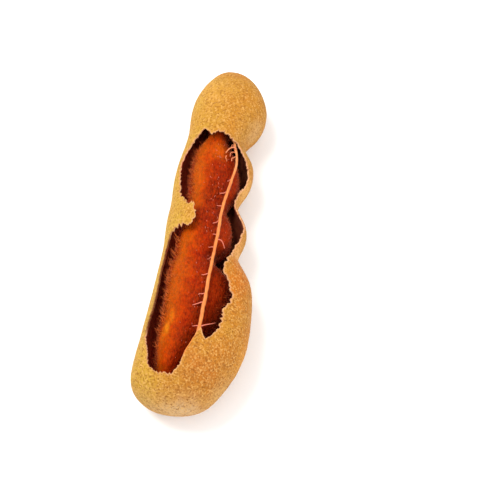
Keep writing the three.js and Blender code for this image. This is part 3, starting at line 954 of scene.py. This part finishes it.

# %% [markdown]
# ## Curled filaments
#
# Near the stalk end the strand has let go of a few filaments, which curl up like torn
# thread. Each is drawn through a few listed points and given a small coil on top, then
# swept as the rootlets are.

# %% Curled filaments
# points as station, x, z; then half width, coil radius and turns
CURLS = [
    ([(78.2, 6.0, 16.7), (78.7, 5.2, 16.9), (78.3, 4.3, 16.9), (77.7, 3.7, 16.9),
      (76.7, 3.2, 17.1)], 0.26, 0.05, 1.0),
    ([(77.1, 6.0, 16.6), (77.3, 5.2, 16.6), (76.9, 4.5, 16.7), (75.7, 4.5, 16.8)],
     0.17, 0.08, 1.2),
    ([(76.0, 6.1, 16.6), (75.6, 5.6, 16.5), (75.4, 5.1, 16.4), (74.5, 5.1, 16.5)],
     0.20, 0.06, 0.8),
    ([(75.8, 3.5, 17.1), (75.1, 3.4, 17.2), (74.5, 3.7, 17.1), (73.9, 3.7, 17.2)],
     0.13, 0.10, 1.4),
    ([(78.6, 5.6, 16.4), (79.6, 5.1, 16.5), (79.6, 4.6, 16.3), (79.0, 4.4, 16.1)],
     0.13, 0.05, 1.0),
]
CURL_STEPS, CURL_SIDES = 40, 10
CURL_TAPER = (1.0, 0.6)
COIL_HEIGHT = 0.6


def curl_route(places, coil, turns):
    places = np.array(places, float)
    at = np.linspace(0, 1, len(places))
    share = np.linspace(0, 1, CURL_STEPS)
    station, x, z = (smooth_through(at, places[:, column])(share) for column in range(3))
    phase = share * turns * 2 * np.pi
    radius = coil * np.sin(np.pi * share)
    return np.stack([
        x + radius * np.cos(phase),
        BLOSSOM_Y + station + radius * np.sin(phase),
        z + COIL_HEIGHT * coil * np.sin(2 * phase)], axis=-1)


curl_taper = np.linspace(*CURL_TAPER, CURL_STEPS)
curl_parts = [
    sweep(curl_route(places, coil, turns), width * curl_taper, CURL_SIDES)
    for places, width, coil, turns in CURLS]
curls = object_from("curled_filaments", *joined(curl_parts))
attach(curls, "root")
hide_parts("string")
print("curled filaments:", len(CURLS))

# %% [markdown]
# ## Finishes
#
# Real surfaces are never one colour. Four effects come back in several finishes here,
# so each is a node group built once and placed with its own values: scurf, the dusty
# grains on bark-like skin; mottle, slow patches of two colours; stain, one soft spot of
# another colour, which on the pulp paints light and shade; and fibre grain, streaks along
# the pod. A group gives out only colours, masks and heights. The shader itself stays in
# each material. Joining nodes by hand in Python is wordy, so a small class gives the
# common nodes short names.

# %% Node helpers


def linear(red, green, blue):
    """A screen colour of 0 to 255 as the linear colour that a shader wants."""
    channels = [value / 255 for value in (red, green, blue)]
    return tuple(
        c / 12.92 if c <= 0.04045 else ((c + 0.055) / 1.055) ** 2.4 for c in channels) + (1.0,)


class Tree:
    """Short names for adding and joining nodes."""

    def __init__(self, tree):
        self.nodes, self.links = tree.nodes, tree.links

    def add(self, kind, inputs=None, **settings):
        node = self.nodes.new(kind)
        for name, value in settings.items():
            setattr(node, name, value)
        for name, value in (inputs or {}).items():
            self.feed(node.inputs[name], value)
        return node

    def feed(self, socket, value):
        if isinstance(value, bpy.types.NodeSocket):
            self.links.new(value, socket)
        else:
            socket.default_value = value

    def math(self, operation, a, b, clamp=False):
        return self.add(
            "ShaderNodeMath", {0: a, 1: b}, operation=operation, use_clamp=clamp).outputs[0]

    def times(self, a, b):
        return self.math("MULTIPLY", a, b)

    def mix(self, share, a, b):
        node = self.add("ShaderNodeMix", data_type="RGBA")
        inputs = {socket.identifier: socket for socket in node.inputs}
        for identifier, value in (("Factor_Float", share), ("A_Color", a), ("B_Color", b)):
            self.feed(inputs[identifier], value)
        return next(s for s in node.outputs if s.identifier == "Result_Color")

    def remap(self, value, low, high, to_low=0.0, to_high=1.0):
        return self.add("ShaderNodeMapRange", {
            "Value": value, "From Min": low, "From Max": high,
            "To Min": to_low, "To Max": to_high}).outputs["Result"]

    def fade(self, place, start_mm, end_mm, at_start=0.0, at_end=1.0):
        """Goes from one value to another between two places along a side."""
        return self.remap(place, start_mm * MM, end_mm * MM, at_start, at_end)

    def noise(self, vector, size_mm):
        return self.add("ShaderNodeTexNoise", {
            "Vector": vector, "Scale": 1 / (size_mm * MM), "Detail": 3.0,
            "Roughness": 0.55}).outputs["Fac"]

    def sides(self, place):
        """The X, Y and Z of a place."""
        return self.add("ShaderNodeSeparateXYZ", {0: place}).outputs

    def stored(self, name):
        """A number that was stored on the points of the mesh."""
        return self.add("ShaderNodeAttribute", attribute_name=name).outputs["Fac"]


print("middle grey on the screen is", round(linear(128, 128, 128)[0], 3), "in linear colour")

# %% Group helpers
FLOAT, COLOR, VECTOR = "NodeSocketFloat", "NodeSocketColor", "NodeSocketVector"


def new_group(name, inputs, outputs):
    """An empty node group, with its inputs and outputs ready to be joined."""
    group = bpy.data.node_groups.new(name, "ShaderNodeTree")
    for socket_name, kind, value in inputs:
        socket = group.interface.new_socket(socket_name, in_out="INPUT", socket_type=kind)
        if value is not None:
            socket.default_value = value
    for socket_name, kind in outputs:
        group.interface.new_socket(socket_name, in_out="OUTPUT", socket_type=kind)
    tree = Tree(group)
    return group, tree, tree.add("NodeGroupInput").outputs, tree.add("NodeGroupOutput").inputs


def place_group(tree, group, inputs):
    return tree.add("ShaderNodeGroup", inputs, node_tree=group).outputs


print("kinds of group socket:", FLOAT, COLOR, VECTOR)

# %% [markdown]
# ## Scurf
#
# The skin of the rind is covered with scurf, a dust of tiny dark and pale grains. Each
# cell of a Voronoi texture is one grain. Its red channel says how dark it may be and its
# green channel how pale, and fine noise lets dark grains gather in some places and pale
# ones in others.

# %% Scurf group
scurf_group, tree, given, result = new_group(
    "scurf",
    [("Place", VECTOR, None), ("Grains per metre", FLOAT, 2200.0), ("Amount", FLOAT, 1.0)],
    [("Dark", FLOAT), ("Pale", FLOAT), ("Height", FLOAT)])
grains = tree.add("ShaderNodeTexVoronoi", {
    "Vector": given["Place"], "Scale": given["Grains per metre"], "Randomness": 1.0})
speckle = tree.add("ShaderNodeTexNoise", {
    "Vector": given["Place"], "Scale": given["Grains per metre"], "Detail": 2.0})
grain_tone = tree.add("ShaderNodeSeparateColor", {"Color": grains.outputs["Color"]})
dark = tree.remap(grain_tone.outputs["Red"], 0.20, 1.0)
dark = tree.times(dark, tree.remap(speckle.outputs["Fac"], 0.36, 0.60))
pale = tree.remap(grain_tone.outputs["Green"], 0.40, 1.0)
pale = tree.times(pale, tree.remap(speckle.outputs["Fac"], 0.62, 0.42))
tree.feed(result["Dark"], tree.math("MULTIPLY", dark, given["Amount"], clamp=True))
tree.feed(result["Pale"], tree.math("MULTIPLY", pale, given["Amount"], clamp=True))
bump_height = tree.math("SUBTRACT", speckle.outputs["Fac"], grains.outputs["Distance"])
tree.feed(result["Height"], bump_height)
print("group:", scurf_group.name)

# %% [markdown]
# ## Mottle
#
# Fruit ripens and dries unevenly, so a colour drifts to another one in slow patches.
# Noise with its contrast raised is enough. Spread says how soft the patches' borders
# are.

# %% Mottle group
mottle_group, tree, given, result = new_group(
    "mottle",
    [("Place", VECTOR, None), ("Patches per metre", FLOAT, 140.0), ("Spread", FLOAT, 0.15),
     ("Colour", COLOR, None), ("Other colour", COLOR, None)],
    [("Colour", COLOR), ("Patch", FLOAT)])
patches = tree.add("ShaderNodeTexNoise", {
    "Vector": given["Place"], "Scale": given["Patches per metre"], "Detail": 4.0,
    "Roughness": 0.6})
low = tree.math("SUBTRACT", 0.5, given["Spread"])
high = tree.math("ADD", 0.5, given["Spread"])
patch = tree.remap(patches.outputs["Fac"], low, high)
tree.feed(result["Colour"], tree.mix(patch, given["Colour"], given["Other colour"]))
tree.feed(result["Patch"], patch)
print("group:", mottle_group.name)

# %% [markdown]
# ## Stains, and painted light and shade
#
# A stain is one soft spot: a worn place, a bruise or a streak of pulp that dried on. On
# the pulp the same soft spots paint light and shade. Painting it on an image would do, but
# there are no pictures here. The distance from a centre, measured in its reach to each
# side, makes an egg-shaped mask, and noise makes its border ragged. A list of spots then
# tints a finish by place.

# %% Tint spot group
RAGGED_SIZE_MM, RAGGED = 3.0, 0.2

tint_spot_group, tree, given, result = new_group(
    "tint_spot",
    [("Place", VECTOR, None), ("Centre", VECTOR, None), ("Reach", VECTOR, None)],
    [("Mask", FLOAT)])
from_centre = tree.add("ShaderNodeVectorMath", {
    0: given["Place"], 1: given["Centre"]}, operation="SUBTRACT").outputs[0]
in_reaches = tree.add("ShaderNodeVectorMath", {
    0: from_centre, 1: given["Reach"]}, operation="DIVIDE").outputs[0]
far_out = tree.add("ShaderNodeVectorMath", {0: in_reaches}, operation="LENGTH").outputs["Value"]
border = tree.noise(given["Place"], RAGGED_SIZE_MM)
ragged = tree.remap(border, 0.3, 0.7, -RAGGED, RAGGED)
mask = tree.add("ShaderNodeMapRange", {
    "Value": tree.math("ADD", far_out, ragged), "From Min": 1.1, "From Max": 0.1,
}, interpolation_type="SMOOTHSTEP").outputs["Result"]
tree.feed(result["Mask"], mask)
print("group:", tint_spot_group.name)


def tinted_in_spots(tree, body, place, tint_spots):
    """Lays soft spots of other colours over a body colour: stains, painted light and shade."""
    for centre, reach, strength, color in tint_spots:
        tint_spot = place_group(tree, tint_spot_group, {
            "Place": place, "Centre": Vector(centre) * MM, "Reach": Vector(reach) * MM})
        body = tree.mix(tree.times(tint_spot["Mask"], strength), body, linear(*color))
    return body


# %% [markdown]
# ## Fibre grain
#
# The pulp, the strand, the lining and the bark all have fibres that run along the pod.
# Noise squeezed along Y gives such streaks: the smaller the stretch value, the longer
# they are.

# %% Fibre grain group
fibre_group, tree, given, result = new_group(
    "fibre_grain",
    [("Place", VECTOR, None), ("Fibres per metre", FLOAT, 1500.0), ("Stretch", FLOAT, 0.15)],
    [("Streak", FLOAT), ("Height", FLOAT)])
stretch = tree.add("ShaderNodeCombineXYZ", {0: 1.0, 1: given["Stretch"], 2: 1.0})
stretched = tree.add("ShaderNodeVectorMath", {
    0: given["Place"], 1: stretch.outputs[0]}, operation="MULTIPLY")
threads = tree.add("ShaderNodeTexNoise", {
    "Vector": stretched.outputs[0], "Scale": given["Fibres per metre"], "Detail": 3.0,
    "Roughness": 0.6})
tree.feed(result["Streak"], tree.remap(threads.outputs["Fac"], 0.40, 0.62))
tree.feed(result["Height"], threads.outputs["Fac"])
print("group:", fibre_group.name)

# %% [markdown]
# ## Finish of the rind
#
# The skin is ochre with a dust of pale and dark grains. It is painted more yellow on the
# upper left, a painted light where the lamp falls, and that fades out underneath. Soft
# stains make the lobes and the waists differ, the blossom end is paler, and the skin is
# worn pale next to the break, except on the narrow strip at the left, where it is painted
# brown as shade along the edge. Dust scatters light at grazing angles, which a little
# sheen stands for.

# %% Material helpers


def new_material(name):
    material = bpy.data.materials.new(name)
    material.use_nodes = True
    tree = Tree(material.node_tree)
    shader = tree.nodes["Principled BSDF"]
    place = tree.add("ShaderNodeTexCoord").outputs["Object"]
    return material, tree, shader, place


def add_bump(tree, shader, height, distance_mm, strength):
    bump = tree.add("ShaderNodeBump", {
        "Height": height, "Distance": distance_mm * MM, "Strength": strength})
    tree.feed(shader.inputs["Normal"], bump.outputs["Normal"])


print("materials so far:", len(bpy.data.materials))

# %% Stains of the skin
# centre and reach in millimetres, strength, colour
SKIN_STAINS = [
    ((1, 40, 19), (9, 10, 9), 0.55, (166, 107, 27)),
    ((9, 31, 15), (6, 9, 8), 0.6, (176, 131, 60)),
    ((11, -16, 18), (5, 18, 9), 0.7, (180, 92, 14)),
    ((2, -44, 19), (14, 12, 10), 0.6, (162, 89, 31)),
    ((13, -36, 12), (6, 8, 7), 0.5, (202, 134, 32)),
    ((-12, -45, 18), (6, 11, 8), 0.45, (178, 132, 42)),
    ((0, -54, 12), (12, 4, 8), 0.8, (202, 172, 126)),
    ((10.5, 33, 12), (3.5, 6, 5), 0.6, (196, 158, 104)),
    ((-2.3, 43, 17), (10, 10, 9), 0.5, (192, 146, 62)),
    ((10, -49, 12), (6, 8, 7), 0.7, (182, 144, 84)),
    ((9.6, 13.5, 11.8), (4, 6.5, 6), 0.8, (212, 156, 84)),
    ((9.8, -6.5, 13.8), (4, 5, 6), 0.8, (216, 156, 86)),
]
# the strand left some of itself on the side of the tongue
TONGUE_STAIN = [((0.2, -38, 23.8), (3, 7, 3), 1.0, (226, 116, 52))]
print("stains on the skin:", len(SKIN_STAINS + TONGUE_STAIN))

# %% Skin


def left_strip(tree, side):
    """1 on the narrow strip of rind left of the opening, below the tab."""
    below_tab = tree.fade(side["Y"], -2, -6)
    before_tip = tree.fade(side["Y"], -36, -33)
    return tree.times(tree.fade(side["X"], -6, -8), tree.times(below_tab, before_tip))


def make_skin():
    material, tree, shader, place = new_material("scurfy_rind_skin")
    side = tree.sides(place)
    # Painted light: the upper left, where the key lamp falls, is painted more yellow, fading
    # out underneath.
    leftwards = tree.fade(side["X"], 2, -11)
    upwards = tree.fade(side["Z"], 2, 12, 0.15, 1.0)
    painted_left_light = tree.times(leftwards, upwards)
    body = tree.mix(painted_left_light, linear(172, 113, 34), linear(186, 151, 56))
    olive = place_group(tree, mottle_group, {
        "Place": place, "Patches per metre": 95.0, "Spread": 0.13,
        "Colour": linear(176, 101, 24), "Other colour": linear(170, 131, 46)})
    body = tree.mix(0.38, body, olive["Colour"])
    body = tinted_in_spots(tree, body, place, SKIN_STAINS)
    # The blossom end is mixed towards a paler colour in patches.
    blossom_end = tree.fade(side["Y"], -48.5, -53)
    pale_tip = tree.times(blossom_end, tree.remap(olive["Patch"], 0.1, 0.9, 0.35, 0.9))
    body = tree.mix(tree.times(pale_tip, 0.6), body, linear(181, 140, 98))
    scurf = place_group(tree, scurf_group, {
        "Place": place, "Grains per metre": 2100.0,
        "Amount": tree.fade(side["Y"], 0, -35, 0.78, 0.95)})
    body = tree.mix(tree.times(scurf["Dark"], 0.90), body, linear(120, 70, 22))
    body = tree.mix(tree.times(scurf["Pale"], 0.85), body, linear(204, 154, 86))
    edge_gap = tree.stored("edge_gap")
    worn = tree.remap(edge_gap, 0.35, 0.05)
    worn = tree.times(worn, tree.fade(side["X"], -9, -3, 0.15, 0.6))
    worn_color = tinted_in_spots(tree, linear(208, 156, 112), place, TONGUE_STAIN)
    body = tree.mix(worn, body, worn_color)
    # Painted shade: along the break on the left strip the skin is painted brown for the shaded
    # broken edge.
    painted_edge_shade = tree.times(left_strip(tree, side), tree.remap(edge_gap, 0.8, 0.1))
    body = tree.mix(painted_edge_shade, body, linear(116, 62, 22))
    tree.feed(shader.inputs["Base Color"], body)
    tree.feed(shader.inputs["Roughness"], tree.remap(scurf["Height"], 0.0, 1.0, 0.72, 0.92))
    shader.inputs["Specular IOR Level"].default_value = 0.1
    shader.inputs["Sheen Weight"].default_value = 0.04
    shader.inputs["Sheen Roughness"].default_value = 0.5
    shader.inputs["Sheen Tint"].default_value = (1.0, 0.85, 0.50, 1)
    add_bump(tree, shader, scurf["Height"], 0.10, 0.6)
    return material


rind.data.materials[SKIN] = make_skin()
print("skin:", rind.data.materials[SKIN].name)

# %% [markdown]
# ## Finish of the broken edge and the lining
#
# The broken edge shows the light, dry flesh of the rind. Its grain is finer than the
# skin's. On the left strip it is painted brown as shade, where it faces down and away
# from the lamp, and it is stained where the strand left some of itself on the tongue. The
# lining is streaked and patched with two browns, and at the left it is painted a bright
# red, a painted light in the shaded gap. Solidify gave each kind of face a slot of its
# own, so each gets a material of its own.

# %% Broken edge and lining


def make_broken_edge():
    material, tree, shader, place = new_material("broken_rind_edge")
    scurf = place_group(tree, scurf_group, {
        "Place": place, "Grains per metre": 3000.0, "Amount": 0.8})
    side = tree.sides(place)
    pale = tree.mix(scurf["Dark"], linear(206, 152, 110), linear(176, 110, 64))
    pale = tinted_in_spots(tree, pale, place, TONGUE_STAIN)
    # Painted shade: on the left strip the broken edge, which faces down and away from the lamp,
    # is painted brown.
    body = tree.mix(left_strip(tree, side), pale, linear(96, 50, 22))
    tree.feed(shader.inputs["Base Color"], body)
    tree.feed(shader.inputs["Roughness"], tree.remap(scurf["Height"], 0.0, 1.0, 0.75, 0.95))
    shader.inputs["Specular IOR Level"].default_value = 0.1
    add_bump(tree, shader, scurf["Height"], 0.08, 0.5)
    return material


def make_lining():
    material, tree, shader, place = new_material("rind_lining")
    grain = place_group(tree, fibre_group, {
        "Place": place, "Fibres per metre": 1300.0, "Stretch": 0.12})
    patches = place_group(tree, mottle_group, {
        "Place": place, "Patches per metre": 260.0, "Spread": 0.12,
        "Colour": linear(128, 52, 30), "Other colour": linear(88, 28, 18)})
    streaks = tree.times(grain["Streak"], 0.4)
    body = tree.mix(streaks, patches["Colour"], linear(162, 95, 55))
    # Painted light: at the left, deep in the shaded gap, the lining is painted a bright red so
    # that the gap reads lighter.
    painted_gap_light = tree.fade(tree.sides(place)["X"], -3, -7, 0.0, 0.8)
    body = tree.mix(painted_gap_light, body, linear(226, 92, 56))
    tree.feed(shader.inputs["Base Color"], body)
    tree.feed(shader.inputs["Roughness"], tree.remap(grain["Height"], 0.3, 0.7, 0.5, 0.7))
    add_bump(tree, shader, grain["Height"], 0.12, 0.6)
    return material


rind.data.materials[BROKEN_EDGE] = make_broken_edge()
rind.data.materials[LINING] = make_lining()
print("rind finishes:", [material.name for material in rind.data.materials])

# %% [markdown]
# ## Finish of the stalk
#
# The stub is bark: dark furrows along it with a paler scurf on top. Both effects are
# there already, so the groups are placed once more, with values of their own.

# %% Stalk finish


def make_bark():
    material, tree, shader, place = new_material("stalk_bark")
    scurf = place_group(tree, scurf_group, {
        "Place": place, "Grains per metre": 2600.0, "Amount": 1.0})
    grain = place_group(tree, fibre_group, {
        "Place": place, "Fibres per metre": 1800.0, "Stretch": 0.3})
    body = tree.mix(grain["Streak"], linear(127, 83, 39), linear(88, 52, 24))
    body = tree.mix(tree.times(scurf["Pale"], 0.6), body, linear(160, 127, 86))
    tree.feed(shader.inputs["Base Color"], body)
    tree.feed(shader.inputs["Roughness"], tree.remap(grain["Height"], 0.3, 0.7, 0.8, 0.95))
    add_bump(tree, shader, grain["Height"], 0.2, 0.8)
    return material


stalk.data.materials.append(make_bark())
print("stalk finish:", stalk.data.materials[0].name)

# %% [markdown]
# ## Finish of the pulp
#
# Ripe pulp is translucent and a little sticky. A colour ramp over the way round the
# ridge takes it from dark red on the right to orange on the left, partly its own hue and
# partly painted shade and light. Spots paint shade into the creases, beside the strand
# and on the flank in the gap, and paint a highlight along the lit left side, and patches
# and small blotches break all that up. The fibres grow out of the pulp, so they take the
# same colours from the same group.

# %% Colours of the pulp
# Partly the pulp's own hue, orange to red, and partly painted light and shade: darker towards
# the right, which turns away from the lamp, a painted rim light at the right edge (0.04),
# painted shade under the fringe (0.79) and a bright red painted into the shaded gap on the left
# (0.95).
# way round from the right side (0) over the top (0.5) to the left side (1), colour
PULP_HUES_AND_PAINTED_LIGHT = [
    (0.04, (240, 118, 90)), (0.11, (168, 60, 32)), (0.18, (138, 34, 12)),
    (0.34, (96, 6, 4)), (0.44, (114, 8, 2)), (0.54, (169, 61, 1)), (0.64, (190, 96, 3)),
    (0.71, (186, 102, 18)), (0.79, (132, 48, 18)), (0.95, (232, 80, 44)),
]
# These spots are painted light and shade: the orange ones a painted highlight along the lit
# left side of the ridge and its lobes, the dark ones painted shade beside and under the strand,
# in the waists and on the flank that lies in the gap.
# centre and reach in millimetres, strength, colour
PULP_PAINTED_LIGHT_AND_SHADE = [
    ((-5.9, -29, 19.3), (1.1, 3.0, 3), 0.7, (240, 140, 22)),
    ((-6.9, -32, 18.5), (1.2, 2.6, 3), 0.9, (240, 152, 26)),
    ((-8.0, -34.6, 17.3), (1.2, 3.0, 3), 0.7, (240, 132, 22)),
    ((-8.6, -38, 16.2), (1.2, 3.0, 3), 0.6, (230, 110, 16)),
    ((-1.0, 2.5, 18), (7, 5, 5), 0.85, (94, 8, 2)),
    ((3.4, 13.5, 17), (3, 9, 5), 0.8, (86, 9, 6)),
    ((6.2, -2.6, 15.4), (3, 5, 3), 0.7, (166, 52, 16)),
    ((-3.8, 16, 16.8), (2.4, 7, 4), 0.5, (196, 100, 14)),
    ((1.6, 24.6, 16.8), (4, 5.5, 4), 0.8, (206, 98, 10)),
    ((0.5, 10, 17.5), (2.4, 6, 4), 0.5, (104, 14, 4)),
    ((5.0, 19.5, 16.3), (1.7, 7, 3), 0.8, (92, 7, 2)),
    ((1.4, 10.5, 17.3), (4.0, 5, 4), 0.95, (44, 1, 1)),
    ((1.2, -26, 19.6), (2.6, 7, 4), 0.95, (44, 1, 1)),
    ((-0.6, -25, 20), (2.2, 5, 4), 0.6, (92, 10, 4)),
    ((-2.0, -36, 19), (2.6, 5, 4), 0.5, (112, 42, 12)),
    ((-5.1, -20, 19.6), (2.0, 6, 4), 0.5, (190, 92, 8)),
    ((-3.6, -15, 19.7), (2.2, 4, 4), 0.4, (190, 92, 8)),
    ((-9.5, -25, 13.8), (2.1, 15, 6), 0.85, (52, 8, 6)),
]
print("pulp:", len(PULP_HUES_AND_PAINTED_LIGHT), "colours,", len(PULP_PAINTED_LIGHT_AND_SHADE), "tint_spots")

# %% Pulp colour group
WOBBLE_SIZE_MM, WOBBLE = 2.5, 0.05

pulp_group, tree, given, result = new_group(
    "pulp_colour", [("Place", VECTOR, None), ("Way round", FLOAT, 0.5)],
    [("Colour", COLOR), ("Patch", FLOAT)])
wobble = tree.noise(given["Place"], WOBBLE_SIZE_MM)
wobble = tree.remap(wobble, 0.3, 0.7, -WOBBLE, WOBBLE)
# The ramp lays painted light and shade over the hue, by the way round.
ramp = tree.add("ShaderNodeValToRGB", {"Fac": tree.math("ADD", given["Way round"], wobble)})
while len(ramp.color_ramp.elements) < len(PULP_HUES_AND_PAINTED_LIGHT):
    ramp.color_ramp.elements.new(0.5)
for element, (position, color) in zip(ramp.color_ramp.elements, PULP_HUES_AND_PAINTED_LIGHT):
    element.position, element.color = position, linear(*color)
patches = place_group(tree, mottle_group, {
    "Place": given["Place"], "Patches per metre": 300.0, "Spread": 0.14,
    "Colour": linear(109, 15, 1), "Other colour": linear(164, 64, 1)})
blotches = place_group(tree, mottle_group, {
    "Place": given["Place"], "Patches per metre": 1100.0, "Spread": 0.12,
    "Colour": linear(92, 8, 3), "Other colour": linear(200, 66, 10)})
body = tree.mix(0.25, ramp.outputs["Color"], patches["Colour"])
# Painted highlight and painted shade laid over the pulp.
body = tinted_in_spots(tree, body, given["Place"], PULP_PAINTED_LIGHT_AND_SHADE)
tree.feed(result["Colour"], tree.mix(0.28, body, blotches["Colour"]))
tree.feed(result["Patch"], patches["Patch"])
print("group:", pulp_group.name)

# %% [markdown]
# ## The pulp and its fibres
#
# On the pulp the fine grain is in the bump and the roughness, so that it glints in small
# spots. A little light travels inside it, which is what Subsurface is for, and sheen
# stands for the finest fuzz, which is too fine for a mesh. The fibres get lighter each
# by its own tone, and more golden towards the left, a painted highlight where the lamp
# falls on that flank. Their tips are pink on the left flank, where they dried, and along
# the right rim, where the pink is a painted rim light.

# %% Pulp finish


def make_pulp_finish():
    material, tree, shader, place = new_material("sticky_pulp")
    colored = {"Place": place, "Way round": tree.stored("way_round")}
    body = place_group(tree, pulp_group, colored)["Colour"]
    grain = place_group(tree, fibre_group, {
        "Place": place, "Fibres per metre": 2600.0, "Stretch": 0.3})
    darker = tree.mix(0.30, body, linear(86, 9, 1))
    lighter = tree.mix(0.30, body, linear(194, 48, 3))
    body = tree.mix(grain["Streak"], darker, lighter)
    tree.feed(shader.inputs["Base Color"], body)
    tree.feed(shader.inputs["Roughness"], tree.remap(grain["Height"], 0.35, 0.65, 0.36, 0.62))
    shader.inputs["Specular IOR Level"].default_value = 0.12
    shader.inputs["Specular Tint"].default_value = (1.0, 0.4, 0.12, 1)
    shader.inputs["Subsurface Weight"].default_value = 0.15
    shader.inputs["Subsurface Radius"].default_value = (1.0, 0.25, 0.08)
    shader.inputs["Subsurface Scale"].default_value = 0.8 * MM
    shader.inputs["Sheen Weight"].default_value = 0.35
    shader.inputs["Sheen Roughness"].default_value = 0.2
    shader.inputs["Sheen Tint"].default_value = (1.0, 0.42, 0.25, 1)
    add_bump(tree, shader, grain["Height"], 0.35, 0.8)
    return material


pulp.data.materials.append(make_pulp_finish())
print("pulp finish:", pulp.data.materials[0].name)

# %% Fibre finish


def make_fibre_finish():
    material, tree, shader, place = new_material("torn_fibres")
    way = tree.stored("way_round")
    painted = place_group(tree, pulp_group, {"Place": place, "Way round": way})
    darker = tree.mix(0.3, painted["Colour"], linear(94, 12, 1))
    # Painted highlight: fibres on the upper left, where the lamp falls, are mixed towards gold.
    painted_left_highlight = tree.remap(way, 0.58, 0.70, 0.3, 0.85)
    lighter = tree.mix(painted_left_highlight, painted["Colour"], linear(224, 108, 20))
    body = tree.mix(tree.stored("tone"), darker, lighter)
    # Tips on the left flank are pink where they dried; the pink on tips along the right rim is
    # a painted rim light.
    flank = tree.remap(way, 0.60, 0.80)
    painted_rim_light = tree.remap(way, 0.22, 0.05)
    near_edges = tree.math("ADD", flank, painted_rim_light, clamp=True)
    pink_tips_and_rim_light = tree.times(tree.stored("towards_tip"), near_edges)
    body = tree.mix(pink_tips_and_rim_light, body, linear(186, 96, 56))
    tree.feed(shader.inputs["Base Color"], body)
    tree.feed(shader.inputs["Roughness"], tree.remap(painted["Patch"], 0.0, 1.0, 0.5, 0.65))
    shader.inputs["Specular IOR Level"].default_value = 0.15
    return material


fibres.data.materials.append(make_fibre_finish())
print("fibre finish:", fibres.data.materials[0].name)

# %% [markdown]
# ## Finish of the strand and its rootlets
#
# The strand is straw-coloured with fine grooves along it, painted darker on its sides as
# shade, where it turns away from the light and meets the pulp, and drier and paler near
# the stalk end. The rootlets and the stubs are pink, like torn string, and the curled
# filaments are paler. One function makes all three finishes, so that they belong together.

# %% Strand finishes


def make_strand_finish(
        name, color, groove_color, fibres_per_metre, painted_side_shade=None, dry_color=None):
    material, tree, shader, place = new_material(name)
    grain = place_group(tree, fibre_group, {
        "Place": place, "Fibres per metre": fibres_per_metre, "Stretch": 0.10})
    if dry_color:
        dry = tree.fade(tree.sides(place)["Y"], 16.5, 19)
        color = tree.mix(dry, color, dry_color)
    body = tree.mix(tree.times(grain["Streak"], 0.6), color, groove_color)
    # Painted shade: the sides of the strand, which turn away from the light, are painted
    # darker.
    if painted_side_shade:
        sideways = tree.remap(tree.stored("facing_up"), 0.75, 0.2)
        body = tree.mix(sideways, body, painted_side_shade)
    tree.feed(shader.inputs["Base Color"], body)
    tree.feed(shader.inputs["Roughness"], tree.remap(grain["Height"], 0.3, 0.7, 0.5, 0.75))
    add_bump(tree, shader, grain["Height"], 0.08, 0.7)
    return material


strand.data.materials.append(make_strand_finish(
    "dry_strand", linear(214, 123, 50), linear(190, 86, 26), 3600.0,
    painted_side_shade=linear(128, 56, 16), dry_color=linear(198, 132, 74)))
thread = make_strand_finish("pink_thread", linear(212, 116, 92), linear(186, 78, 54), 4000.0)
for thready in (rootlets, specks):
    thready.data.materials.append(thread)
curls.data.materials.append(make_strand_finish(
    "pale_curls", linear(204, 122, 78), linear(180, 82, 42), 4000.0))
print("strand finishes:", [piece.data.materials[0].name for piece in (strand, rootlets, curls)])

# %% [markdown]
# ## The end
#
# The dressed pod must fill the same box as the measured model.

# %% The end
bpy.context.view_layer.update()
